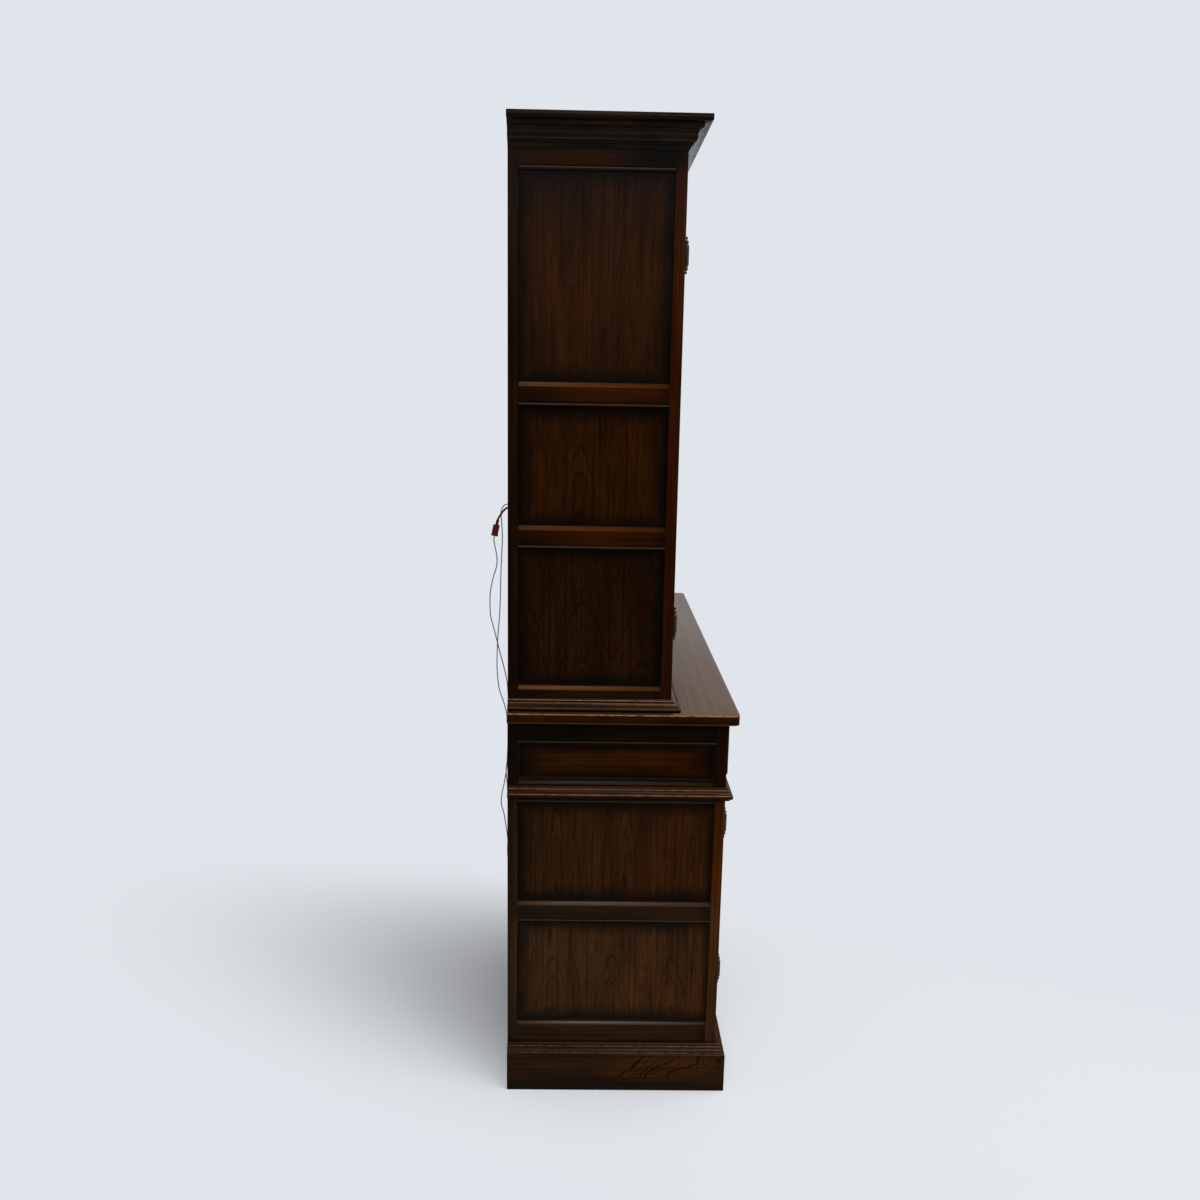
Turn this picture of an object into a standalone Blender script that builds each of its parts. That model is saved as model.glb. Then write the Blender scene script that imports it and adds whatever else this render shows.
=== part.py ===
# A two-stage oak display cabinet: a panelled base with two drawers and two doors under a
# counter top, and an upper stage with two leaded glass doors under a moulded cornice.
# Metres, +Z up. X runs across the front, +Y runs to the back, and the origin lies on the
# floor under the middle of the cabinet.
import math

import bmesh
import bpy
from mathutils import Matrix, Vector

# Overall sizes
TOTAL_HEIGHT = 2.050
COUNTER_TOP = 0.8825
COUNTER_WIDTH = 1.315
COUNTER_NOSE = 0.021
COUNTER_THICKNESS = 0.0215
COUNTER_OVERHANG = 0.0235
COUNTER_CORNER = 0.012
COUNTER_ARRIS = 0.004
BASE_DEPTH = 0.466
UPPER_INSET = 0.010
UPPER_DEPTH = 0.344

# Frames: corner posts, rails between them, and the panels in their grooves
POST_WIDTH = 0.040
FRONT_THICKNESS = 0.023
BACK_POST_THICKNESS = 0.0215
RAIL_THICKNESS = 0.020
PANEL_THICKNESS = 0.006
PANEL_RECESS = 0.009
GROOVE_DEPTH = 0.006
TENON = 0.008
RAIL_CHAMFER = 0.0105
RAIL_BEAD = 0.008
MULLION_WIDTH = 0.040
GAP = 0.0003

# Lower part of the base, as heights above the floor, and the middle side rail's own height
BASE_RAIL_FOOT = 0.030
BASE_RAIL_TOP = 0.1494
BASE_MIDDLE_RAIL_TOP = 0.4383
BASE_MIDDLE_RAIL_HEIGHT = 0.0322
DOOR_SILL = 0.175
FRONT_RAIL_FOOT = 0.050

# Upper part of the base, from the counter top's underside down
FRIEZE_RAIL_HEIGHT = 0.0449
DRAWER_HEAD_DROP = 0.0105
DRAWER_OPENING = 0.124
WAIST_RAIL_DROP = 0.008
WAIST_RAIL_HEIGHT = 0.0352
DRAWER_RAIL_HEIGHT = 0.0383

# Upper side rails and front openings, as heights above the counter top
UPPER_FOOT_RAIL = 0.042
SHELF_RAIL_HEIGHT = 0.0302
LOWER_SHELF_RAIL_TOP = 0.3787
UPPER_SHELF_RAIL_TOP = 0.6657
UPPER_DOOR_SILL = 0.0555

# Top of the upper stage, as drops below the cornice's top
TOP_RAIL_DROP = 0.0879
UPPER_DOOR_HEAD_DROP = 0.118
CARCASS_DROP = 0.012

# Boards
BOARD_THICKNESS = 0.018
RUNNER_BOARD_THICKNESS = 0.012
BACK_THICKNESS = 0.006
BACK_INSET = 0.002
BACK_REBATE = 0.010
BASE_SHELF_THICKNESS = 0.016
BASE_SHELF_DEPTH = 0.355
GLASS_SHELF_THICKNESS = 0.006
SHELF_CLEARANCE = 0.003
LEDGER_HEIGHT = 0.012
LEDGER_REACH = 0.034
GUIDE_HEIGHT = 0.015

# Mouldings
PLINTH_HEIGHT = 0.0879
PLINTH_PROJECTION = 0.0205
PLINTH_CAP_HEIGHT = 0.0214
WAIST_PROJECTION = 0.0145
WAIST_HEIGHT = 0.0279
FOOT_PROJECTION = 0.019
FOOT_HEIGHT = 0.0254
CORNICE_PROJECTION = 0.0415
CORNICE_HEIGHT = 0.0595
CORNICE_FASCIA = 0.0115

# Doors
DOOR_GAP = 0.0025
DOOR_THICKNESS = 0.020
GLASS_DOOR_STILE = 0.046
BASE_DOOR_STILE = 0.060
DOOR_MOULDING = 0.010
DOOR_REBATE = 0.009
PANE_THICKNESS = 0.004
DOOR_PANEL_EDGE = 0.006
FIELD_MARGIN = 0.038
FIELD_RISE = 0.007
FIELD_STEP = 0.0015

# Leading of the panes
LEAD_DEPTH = 0.0026
LEAD_BORDER = 0.007
CAME_WIDTH = 0.006
DIAMOND_WIDTH = 0.113
DIAMOND_HEIGHT = 0.149

# Drawers
DRAWER_CLEARANCE = 0.0015
DRAWER_FRONT_THICKNESS = 0.020
DRAWER_WALL = 0.011
DRAWER_FLOOR = 0.007
DRAWER_SIDE_HEIGHT = 0.095
DRAWER_BOX_DEPTH = 0.385
DRAWER_MOULDING_WIDTH = 0.024
DRAWER_MOULDING_RISE = 0.009

# Hinges
HINGE_RADIUS = 0.0052
HINGE_OFFSET = 0.0058
HINGE_BARREL = 0.037
HINGE_FINIAL = 0.0175
HINGE_LEAF_THICKNESS = 0.0018
HINGE_LEAF_DEPTH = 0.018
UPPER_HINGE_DROP = 0.1256
UPPER_HINGE_RISE = 0.1237
BASE_HINGE_DROP = 0.0693
BASE_HINGE_RISE = 0.0925

# Handles
KNOB_REACH = 0.028
KNOB_RADIUS = 0.0122
UPPER_KNOB_HEIGHT = 0.500
BASE_KNOB_DROP = 0.2082
PLATE_THICKNESS = 0.002
PLATE_HALF_WIDTH = 0.050
PLATE_HALF_HEIGHT = 0.014
POMMEL_SPACING = 0.064
POMMEL_RADIUS = 0.0045
POMMEL_REACH = 0.009
BAIL_THICKNESS = 0.005
BAIL_DROP = 0.025
BAIL_SPREAD = 0.010
BAIL_CORNER = 0.010
BAIL_SAG = 0.0015

# Cabinet light and its leads
LIGHT_RADIUS = 0.034
LIGHT_DEPTH = 0.014
LEAD_DIAMETER = 0.0022
RED_LEAD_DIAMETER = 0.0042
LEAD_STEP = 0.0125
GROMMET_RADIUS = 0.0057
GROMMET_FLANGE = 0.009
GROMMET_LIP = 0.0016
UPPER_EXIT_INSET = 0.055
UPPER_EXIT_HEIGHT = 1.305
BASE_EXIT_INSET = 0.200
BASE_EXIT_RADIUS = 0.0075
CONNECTOR_SIZE = (0.011, 0.014, 0.035)
CONNECTOR_INSET = 0.0530
CONNECTOR_BEHIND = 0.0268
CONNECTOR_HEIGHT = 1.2600
CONNECTOR_TILT = math.radians(12)
CONNECTOR_ARRIS = 0.002
DRIVER_SIZE = (0.115, 0.028, 0.042)
DRIVER_ARRIS = 0.003
DRIVER_LIFT = 0.0388

# Places worked out from the sizes
BASE_HALF = COUNTER_WIDTH / 2 - COUNTER_OVERHANG
UPPER_HALF = BASE_HALF - UPPER_INSET
OVERALL_DEPTH = BASE_DEPTH + max(KNOB_REACH, COUNTER_NOSE)
BACK = OVERALL_DEPTH / 2
BASE_FRONT = BACK - BASE_DEPTH
UPPER_FRONT = BACK - UPPER_DEPTH
COUNTER_UNDERSIDE = COUNTER_TOP - COUNTER_THICKNESS
FRIEZE_RAIL_LOW = COUNTER_UNDERSIDE - FRIEZE_RAIL_HEIGHT
DRAWER_HEAD = COUNTER_UNDERSIDE - DRAWER_HEAD_DROP
DRAWER_SILL = DRAWER_HEAD - DRAWER_OPENING
WAIST_RAIL_TOP = DRAWER_SILL - WAIST_RAIL_DROP
WAIST_RAIL_LOW = WAIST_RAIL_TOP - WAIST_RAIL_HEIGHT
WAIST_BOTTOM = DRAWER_SILL - DRAWER_RAIL_HEIGHT
BASE_MIDDLE_RAIL_LOW = BASE_MIDDLE_RAIL_TOP - BASE_MIDDLE_RAIL_HEIGHT
CARCASS_TOP = TOTAL_HEIGHT - CARCASS_DROP
GROOVE_OUT = PANEL_RECESS - GAP
GROOVE_IN = PANEL_RECESS + PANEL_THICKNESS + GAP
BACK_FACE = BACK - BACK_INSET
BACK_INNER = BACK_FACE - BACK_THICKNESS
LOWER_SHELF = COUNTER_TOP + LOWER_SHELF_RAIL_TOP - SHELF_RAIL_HEIGHT / 2
UPPER_SHELF = COUNTER_TOP + UPPER_SHELF_RAIL_TOP - SHELF_RAIL_HEIGHT / 2
BASE_SHELF = BASE_MIDDLE_RAIL_TOP - BASE_MIDDLE_RAIL_HEIGHT / 2
BASE_EXIT_HEIGHT = BASE_SHELF + BASE_SHELF_THICKNESS + DRIVER_LIFT + DRIVER_SIZE[2] / 2
WELD = 0.00001

# Each turn takes an outline's own axes to the two world axes that it lies along.
TURNS = {
    "X": Matrix(((0, 0, 1), (1, 0, 0), (0, 1, 0))).to_4x4(),
    "Y": Matrix(((1, 0, 0), (0, 0, -1), (0, 1, 0))).to_4x4(),
    "Z": Matrix.Identity(4),
}

# Colour, roughness and metallic value of each material
FINISHES = {
    "oak_frame": ((0.085, 0.042, 0.020, 1), 0.40, 0.0),
    "oak_panel": ((0.070, 0.038, 0.021, 1), 0.42, 0.0),
    "oak_drawer": ((0.080, 0.041, 0.020, 1), 0.40, 0.0),
    "oak_moulding": ((0.085, 0.045, 0.022, 1), 0.38, 0.0),
    "oak_counter": ((0.090, 0.045, 0.021, 1), 0.36, 0.0),
    "inner_board": ((0.130, 0.080, 0.045, 1), 0.60, 0.0),
    "back_board": ((0.230, 0.155, 0.095, 1), 0.70, 0.0),
    "antique_brass": ((0.140, 0.105, 0.055, 1), 0.45, 1.0),
    "clear_glass": ((0.800, 0.850, 0.850, 0.30), 0.05, 0.0),
    "lead_came": ((0.120, 0.120, 0.125, 1), 0.50, 1.0),
    "black_rubber": ((0.030, 0.028, 0.026, 1), 0.70, 0.0),
    "red_plastic": ((0.300, 0.020, 0.012, 1), 0.45, 0.0),
    "grey_lead": ((0.250, 0.250, 0.260, 1), 0.50, 0.0),
    "white_plastic": ((0.700, 0.700, 0.680, 1), 0.40, 0.0),
}


def clear_scene():
    for old in list(bpy.data.objects):
        bpy.data.objects.remove(old)


def new_collection(name):
    collection = bpy.data.collections.new(name)
    bpy.context.scene.collection.children.link(collection)
    return collection


def new_material(name):
    colour, roughness, metallic = FINISHES[name]
    material = bpy.data.materials.new(name)
    material.use_nodes = True
    shader = material.node_tree.nodes["Principled BSDF"]
    shader.inputs["Base Color"].default_value = colour
    shader.inputs["Roughness"].default_value = roughness
    shader.inputs["Metallic"].default_value = metallic
    shader.inputs["Alpha"].default_value = colour[3]
    return material


clear_scene()
cabinet = new_collection("display_cabinet")
tools = new_collection("cutters")
materials = {}


def place(mesh, matrix):
    piece = bpy.data.objects.new("piece", mesh)
    piece.matrix_world = matrix
    tools.objects.link(piece)
    return piece


def evaluated_mesh(source):
    bpy.context.view_layer.update()
    graph = bpy.context.evaluated_depsgraph_get()
    return bpy.data.meshes.new_from_object(source.evaluated_get(graph))


# The mesh that an object's curve or modifiers make takes their place.
def settle(source, weld=True):
    mesh = evaluated_mesh(source)
    if weld:
        shape = bmesh.new()
        shape.from_mesh(mesh)
        bmesh.ops.remove_doubles(shape, verts=shape.verts, dist=WELD)
        bmesh.ops.recalc_face_normals(shape, faces=shape.faces)
        shape.to_mesh(mesh)
        shape.free()
    settled = place(mesh, source.matrix_world.copy())
    bpy.data.objects.remove(source)
    return settled


def block(low, high):
    low = Vector(low)
    high = Vector(high)
    size = high - low
    shape = bmesh.new()
    bmesh.ops.create_cube(shape, size=1, matrix=Matrix.Diagonal((*size, 1)))
    mesh = bpy.data.meshes.new("block")
    shape.to_mesh(mesh)
    shape.free()
    return place(mesh, Matrix.Translation((low + high) / 2))


# A flat outline with any holes, made thick from low to high along one axis
def slab(outlines, axis, low, high):
    curve = bpy.data.curves.new("outline", "CURVE")
    curve.dimensions = "2D"
    curve.fill_mode = "BOTH"
    curve.extrude = (high - low) / 2
    for outline in outlines:
        spline = curve.splines.new("POLY")
        spline.points.add(len(outline) - 1)
        for point, (along, up) in zip(spline.points, outline):
            point.co = (along, up, 0, 1)
        spline.use_cyclic_u = True
    middle = (low + high) / 2
    centre = Vector(middle if name == axis else 0 for name in "XYZ")
    return settle(place(curve, Matrix.Translation(centre) @ TURNS[axis]))


def rectangle(left, low, right, high):
    return [(left, low), (right, low), (right, high), (left, high)]


def circle(centre, radius, steps=24):
    turns = [math.tau * step / steps for step in range(steps)]
    return [(centre[0] + radius * math.cos(turn), centre[1] + radius * math.sin(turn)) for turn in turns]


def bevelled(piece, width, segments=1, angle=math.radians(40)):
    bevel = piece.modifiers.new("arris", "BEVEL")
    bevel.width = width
    bevel.segments = segments
    bevel.limit_method = "ANGLE"
    bevel.angle_limit = angle
    return settle(piece, weld=False)


# Faces that lie in one plane are joined again after a cut or a join.
def tidy(piece):
    shape = bmesh.new()
    shape.from_mesh(piece.data)
    bmesh.ops.dissolve_limit(shape, angle_limit=math.radians(0.05), verts=shape.verts, edges=shape.edges)
    shape.to_mesh(piece.data)
    shape.free()
    return piece


def combine(piece, others, operation):
    for other in others:
        step = piece.modifiers.new("join", "BOOLEAN")
        step.operation = operation
        step.solver = "EXACT"
        step.object = other
        other.hide_render = True
        other.display_type = "WIRE"
    result = settle(piece)
    for other in others:
        bpy.data.objects.remove(other)
    return tidy(result)


def fuse(piece, *others):
    return combine(piece, others, "UNION")


def cut(piece, *others):
    return combine(piece, others, "DIFFERENCE")


# The way out from a path's corner that keeps a moulding's mitre at full width
def mitre(before, corner, after):
    ways = []
    for start, end in ((before, corner), (corner, after)):
        if start is not None and end is not None:
            run = (Vector(end) - Vector(start)).normalized()
            ways.append(Vector((run.y, -run.x)))
    if len(ways) == 1:
        return ways[0]
    return (ways[0] + ways[1]) / (1 + ways[0].dot(ways[1]))


# A moulding: the profile, as (out, up) points, extruded along a path with mitred corners.
# Out is to the right of the way that the path runs.
def moulding(profile, path, closed=False, matrix=Matrix.Identity(4)):
    rings = []
    count = len(path)
    for index, corner in enumerate(path):
        before = path[index - 1] if closed or index > 0 else None
        after = path[(index + 1) % count] if closed or index < count - 1 else None
        way = mitre(before, corner, after)
        rings.append([Vector((*(Vector(corner) + way * out), up)) for out, up in profile])
    if closed:
        rings.append(rings[0])
    shape = bmesh.new()
    face = shape.faces.new([shape.verts.new(point) for point in rings[0]])
    for index, (ring, following) in enumerate(zip(rings, rings[1:])):
        grown = bmesh.ops.extrude_face_region(shape, geom=[face], use_keep_orig=True)
        end = next(item for item in grown["geom"] if isinstance(item, bmesh.types.BMFace))
        for vertex in end.verts:
            nearest = min(range(len(ring)), key=lambda spot: (ring[spot] - vertex.co).length)
            vertex.co = following[nearest]
        if closed or index > 0:
            bmesh.ops.delete(shape, geom=[face], context="FACES_ONLY")
        face = end
    if closed:
        bmesh.ops.delete(shape, geom=[face], context="FACES_ONLY")
    bmesh.ops.remove_doubles(shape, verts=shape.verts, dist=WELD)
    bmesh.ops.recalc_face_normals(shape, faces=shape.faces)
    mesh = bpy.data.meshes.new("moulding")
    shape.to_mesh(mesh)
    shape.free()
    return place(mesh, matrix)


# A turned piece: the profile, as (radius, height) points from the top down, round its own Z
def turned(profile, matrix, steps=14):
    shape = bmesh.new()
    points = [shape.verts.new((radius, 0, height)) for radius, height in profile]
    for upper, lower in zip(points, points[1:]):
        shape.edges.new((upper, lower))
    mesh = bpy.data.meshes.new("profile")
    shape.to_mesh(mesh)
    shape.free()
    piece = place(mesh, matrix)
    screw = piece.modifiers.new("turning", "SCREW")
    screw.axis = "Z"
    screw.steps = steps
    screw.render_steps = steps
    screw.use_merge_vertices = True
    screw.merge_threshold = WELD
    piece = settle(piece)
    piece.data.shade_smooth()
    piece.data.set_sharp_from_angle(angle=math.radians(35))
    return piece


def tube(points, diameter, sides_resolution=2):
    curve = bpy.data.curves.new("route", "CURVE")
    curve.dimensions = "3D"
    curve.bevel_depth = diameter / 2
    curve.bevel_resolution = sides_resolution
    curve.use_fill_caps = True
    spline = curve.splines.new("POLY")
    spline.points.add(len(points) - 1)
    for point, position in zip(spline.points, points):
        point.co = (*position, 1)
    piece = settle(place(curve, Matrix.Identity(4)))
    piece.data.shade_smooth()
    return piece


# The finished piece moves to the cabinet's collection under its own name.
def finish(name, piece, finish_name, parent=None):
    if finish_name not in materials:
        materials[finish_name] = new_material(finish_name)
    piece.name = name
    piece.data.name = name
    piece.data.materials.clear()
    piece.data.materials.append(materials[finish_name])
    tools.objects.unlink(piece)
    cabinet.objects.link(piece)
    if parent:
        piece.parent = parent
        piece.matrix_parent_inverse = parent.matrix_world.inverted()
    return piece


def pivot(name, location):
    empty = bpy.data.objects.new(name, None)
    empty.location = location
    empty.empty_display_size = 0.03
    cabinet.objects.link(empty)
    bpy.context.view_layer.update()
    return empty


# Points mirrored to the left or kept on the right; side is -1 or 1.
def mirrored(outline, side):
    return [(side * across, along) for across, along in outline]


# A corner post's outline seen from above, with the groove for the side panel
def front_post(half, front):
    back = front + FRONT_THICKNESS
    return [
        (half, front), (half, back), (half - GROOVE_OUT, back), (half - GROOVE_OUT, back - GROOVE_DEPTH),
        (half - GROOVE_IN, back - GROOVE_DEPTH), (half - GROOVE_IN, back), (half - POST_WIDTH, back),
        (half - POST_WIDTH, front),
    ]


# The back post has a rebate as well, where the back board lies.
def back_post(half):
    front = BACK - BACK_POST_THICKNESS
    rebate = BACK_INNER - GAP
    inner = half - POST_WIDTH
    return [
        (half, front), (half, BACK), (inner + BACK_REBATE, BACK), (inner + BACK_REBATE, rebate),
        (inner, rebate), (inner, front), (half - GROOVE_IN, front), (half - GROOVE_IN, front + GROOVE_DEPTH),
        (half - GROOVE_OUT, front + GROOVE_DEPTH), (half - GROOVE_OUT, front),
    ]


# The edges of a rail as (in from the side face, height) points: a bead over the panel
# below, and a chamfer down to the panel above
def bead_edge(low):
    tall = RAIL_BEAD
    foot = low - tall
    return [
        (GROOVE_OUT, foot), (0.45 * GROOVE_OUT, foot), (0.20 * tall, foot + 0.3 * tall),
        (0.10 * tall, foot + 0.7 * tall), (0.25 * tall, foot + 0.9 * tall), (0, low),
    ]


def chamfer_edge(high):
    return [(0, high), (GROOVE_OUT, high + RAIL_CHAMFER)]


# A rail that is as thick as the frame, grooved for the panels that it meets
def thick_rail(low, high, panel_below, panel_above):
    points = []
    if panel_below:
        foot = low - RAIL_BEAD
        points += [(RAIL_THICKNESS, foot), (GROOVE_IN, foot), (GROOVE_IN, foot + GROOVE_DEPTH)]
        points += [(GROOVE_OUT, foot + GROOVE_DEPTH)] + bead_edge(low)
    else:
        points += [(RAIL_THICKNESS, low), (0, low)]
    if panel_above:
        head = high + RAIL_CHAMFER
        points += chamfer_edge(high) + [(GROOVE_OUT, head - GROOVE_DEPTH)]
        points += [(GROOVE_IN, head - GROOVE_DEPTH), (GROOVE_IN, head), (RAIL_THICKNESS, head)]
    else:
        points += [(0, high), (RAIL_THICKNESS, high)]
    return points


# A rail that lies over the face of a panel that runs on behind it
def face_rail(low, high):
    return bead_edge(low) + chamfer_edge(high)


# One glued side: two posts, the rails between them and the ledgers that carry a shelf
def side_frame(name, side, half, front, low, high, rails, shelves):
    posts = [slab([mirrored(front_post(half, front), side)], "Z", low, high),
             slab([mirrored(back_post(half), side)], "Z", low, high)]
    rail_front = front + FRONT_THICKNESS - TENON
    rail_back = BACK - BACK_POST_THICKNESS + TENON
    pieces = [posts[1]]
    for outline in rails:
        placed = [(side * (half - inward), up) for inward, up in outline]
        pieces.append(slab([placed], "Y", rail_front, rail_back))
    for shelf in shelves:
        ends = sorted((side * (half - GROOVE_IN), side * (half - LEDGER_REACH)))
        top = shelf - GAP
        pieces.append(block((ends[0], rail_front, top - LEDGER_HEIGHT), (ends[1], rail_back, top)))
    finish(name, fuse(posts[0], *pieces), "oak_frame")


# A side panel reaches into the grooves all round.
def side_panel(name, side, half, front, low, high):
    reach = GROOVE_DEPTH - GAP
    ends = sorted((side * (half - PANEL_RECESS), side * (half - PANEL_RECESS - PANEL_THICKNESS)))
    start = front + FRONT_THICKNESS - reach
    stop = BACK - BACK_POST_THICKNESS + reach
    finish(name, block((ends[0], start, low - reach), (ends[1], stop, high + reach)), "oak_panel")


def base_sides():
    top = COUNTER_UNDERSIDE - GAP
    rails = [
        thick_rail(BASE_RAIL_FOOT, BASE_RAIL_TOP, False, True),
        face_rail(BASE_MIDDLE_RAIL_LOW, BASE_MIDDLE_RAIL_TOP),
        thick_rail(WAIST_RAIL_LOW, WAIST_RAIL_TOP, True, True),
        thick_rail(FRIEZE_RAIL_LOW, top, True, False),
    ]
    for word, side in (("left", -1), ("right", 1)):
        side_frame(f"base_{word}_frame", side, BASE_HALF, BASE_FRONT, 0, top, rails, [BASE_SHELF])
        side_panel(f"base_{word}_panel", side, BASE_HALF, BASE_FRONT,
                   BASE_RAIL_TOP + RAIL_CHAMFER, WAIST_RAIL_LOW - RAIL_BEAD)
        side_panel(f"base_{word}_frieze_panel", side, BASE_HALF, BASE_FRONT,
                   WAIST_RAIL_TOP + RAIL_CHAMFER, FRIEZE_RAIL_LOW - RAIL_BEAD)


def upper_sides():
    foot = COUNTER_TOP + GAP
    lower = COUNTER_TOP + LOWER_SHELF_RAIL_TOP
    upper = COUNTER_TOP + UPPER_SHELF_RAIL_TOP
    top = TOTAL_HEIGHT - TOP_RAIL_DROP
    rails = [
        thick_rail(foot, COUNTER_TOP + UPPER_FOOT_RAIL, False, True),
        face_rail(lower - SHELF_RAIL_HEIGHT, lower),
        face_rail(upper - SHELF_RAIL_HEIGHT, upper),
        thick_rail(top, CARCASS_TOP, True, False),
    ]
    for word, side in (("left", -1), ("right", 1)):
        side_frame(f"upper_{word}_frame", side, UPPER_HALF, UPPER_FRONT, foot, CARCASS_TOP, rails,
                   [LOWER_SHELF, UPPER_SHELF])
        side_panel(f"upper_{word}_panel", side, UPPER_HALF, UPPER_FRONT,
                   COUNTER_TOP + UPPER_FOOT_RAIL + RAIL_CHAMFER, top - RAIL_BEAD)


# The bays between the posts and the middle stile, as (left, right) pairs
def bays(half):
    opening = half - POST_WIDTH
    middle = MULLION_WIDTH / 2
    return {"left": (-opening, -middle), "right": (middle, opening)}


# A front frame is one plate of rails and stiles with an opening for each door and drawer.
# The openings run out to the corner posts, so they are cut past the plate's ends.
def front_frame(name, half, front, low, high, openings):
    reach = half - POST_WIDTH - GAP
    back = front + FRONT_THICKNESS
    past = POST_WIDTH / 2
    plate = block((-reach, front, low), (reach, back, high))
    cutters = []
    for bottom, top in openings:
        for left, right in bays(half).values():
            start = left - past if left < 0 else left
            stop = right + past if right > 0 else right
            cutters.append(block((start, front - GAP, bottom), (stop, back + GAP, top)))
    finish(name, cut(plate, *cutters), "oak_frame")


# A board between the side frames, notched round the four corner posts
def notched_board(half, front, low, high):
    wide = half - RAIL_THICKNESS - GAP
    narrow = half - POST_WIDTH - GAP
    nose = front + FRONT_THICKNESS + GAP
    back_notch = BACK - BACK_POST_THICKNESS - GAP
    rear = BACK_INNER - GAP
    outline = [(wide, nose), (wide, back_notch), (narrow, back_notch), (narrow, rear),
               (-narrow, rear), (-narrow, back_notch), (-wide, back_notch), (-wide, nose)]
    return slab([outline], "Z", low, high)


def base_carcass():
    front_frame("base_front_frame", BASE_HALF, BASE_FRONT, FRONT_RAIL_FOOT, COUNTER_UNDERSIDE - GAP,
                [(DOOR_SILL, WAIST_BOTTOM), (DRAWER_SILL, DRAWER_HEAD)])
    floor_top = DOOR_SILL - SHELF_CLEARANCE
    board = notched_board(BASE_HALF, BASE_FRONT, floor_top - BOARD_THICKNESS, floor_top)
    finish("base_floor", board, "inner_board")
    runner = notched_board(BASE_HALF, BASE_FRONT, DRAWER_SILL - RUNNER_BOARD_THICKNESS, DRAWER_SILL)
    start = BASE_FRONT + FRONT_THICKNESS + GAP
    stop = BACK - BACK_POST_THICKNESS - GAP
    outer = BASE_HALF - RAIL_THICKNESS - GAP
    inner = BASE_HALF - POST_WIDTH
    middle = MULLION_WIDTH / 2
    sunk = DRAWER_SILL - RUNNER_BOARD_THICKNESS / 2
    top = DRAWER_SILL + GUIDE_HEIGHT
    guides = [block((left, start, sunk), (right, stop, top))
              for left, right in ((-outer, -inner), (-middle, middle), (inner, outer))]
    finish("drawer_runner_board", fuse(runner, *guides), "inner_board")
    wide = BASE_HALF - GROOVE_IN - SHELF_CLEARANCE
    narrow = BASE_HALF - POST_WIDTH - SHELF_CLEARANCE
    rear = BACK - BACK_POST_THICKNESS - SHELF_CLEARANCE
    nose = rear - BASE_SHELF_DEPTH
    shelf = block((-wide, nose, BASE_SHELF), (wide, rear, BASE_SHELF + BASE_SHELF_THICKNESS))
    finish("base_shelf", shelf, "inner_board")
    reach = BASE_HALF - POST_WIDTH + BACK_REBATE - GAP
    sheet = rectangle(-reach, BASE_RAIL_FOOT, reach, COUNTER_UNDERSIDE - GAP)
    hole = circle((BASE_EXIT_INSET - BASE_HALF, BASE_EXIT_HEIGHT), BASE_EXIT_RADIUS)
    finish("base_back", slab([sheet, hole], "Y", BACK_INNER, BACK_FACE), "back_board")


def upper_carcass():
    foot = COUNTER_TOP + GAP
    sill = COUNTER_TOP + UPPER_DOOR_SILL
    front_frame("upper_front_frame", UPPER_HALF, UPPER_FRONT, foot, CARCASS_TOP,
                [(sill, TOTAL_HEIGHT - UPPER_DOOR_HEAD_DROP)])
    floor_top = sill - SHELF_CLEARANCE
    for name, top in (("upper_floor", floor_top), ("upper_roof", CARCASS_TOP)):
        board = notched_board(UPPER_HALF, UPPER_FRONT, top - BOARD_THICKNESS, top)
        finish(name, board, "inner_board")
    reach = UPPER_HALF - POST_WIDTH + BACK_REBATE - GAP
    sheet = rectangle(-reach, foot, reach, CARCASS_TOP)
    hole = circle((UPPER_EXIT_INSET - BASE_HALF, UPPER_EXIT_HEIGHT), GROMMET_RADIUS + GAP)
    finish("upper_back", slab([sheet, hole], "Y", BACK_INNER, BACK_FACE), "back_board")
    wide = UPPER_HALF - GROOVE_IN - SHELF_CLEARANCE
    rear = BACK - BACK_POST_THICKNESS - SHELF_CLEARANCE
    nose = UPPER_FRONT + FRONT_THICKNESS + SHELF_CLEARANCE
    for word, shelf in (("lower", LOWER_SHELF), ("upper", UPPER_SHELF)):
        plate = block((-wide, nose, shelf), (wide, rear, shelf + GLASS_SHELF_THICKNESS))
        finish(f"{word}_glass_shelf", plate, "clear_glass")


# The path of a moulding round the front and both sides, from the left back to the right
def round_front(half, front):
    return [(-half - GAP, BACK), (-half - GAP, front - GAP), (half + GAP, front - GAP), (half + GAP, BACK)]


# Part of a quarter circle, hollow or round, between two profile points
def arc(start, stop, hollow, steps=4):
    across = stop[0] - start[0]
    rise = stop[1] - start[1]
    points = []
    for step in range(steps + 1):
        turn = math.pi / 2 * step / steps
        if hollow:
            points.append((start[0] + across * (1 - math.cos(turn)), start[1] + rise * math.sin(turn)))
        else:
            points.append((start[0] + across * math.sin(turn), start[1] + rise * (1 - math.cos(turn))))
    return points


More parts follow.
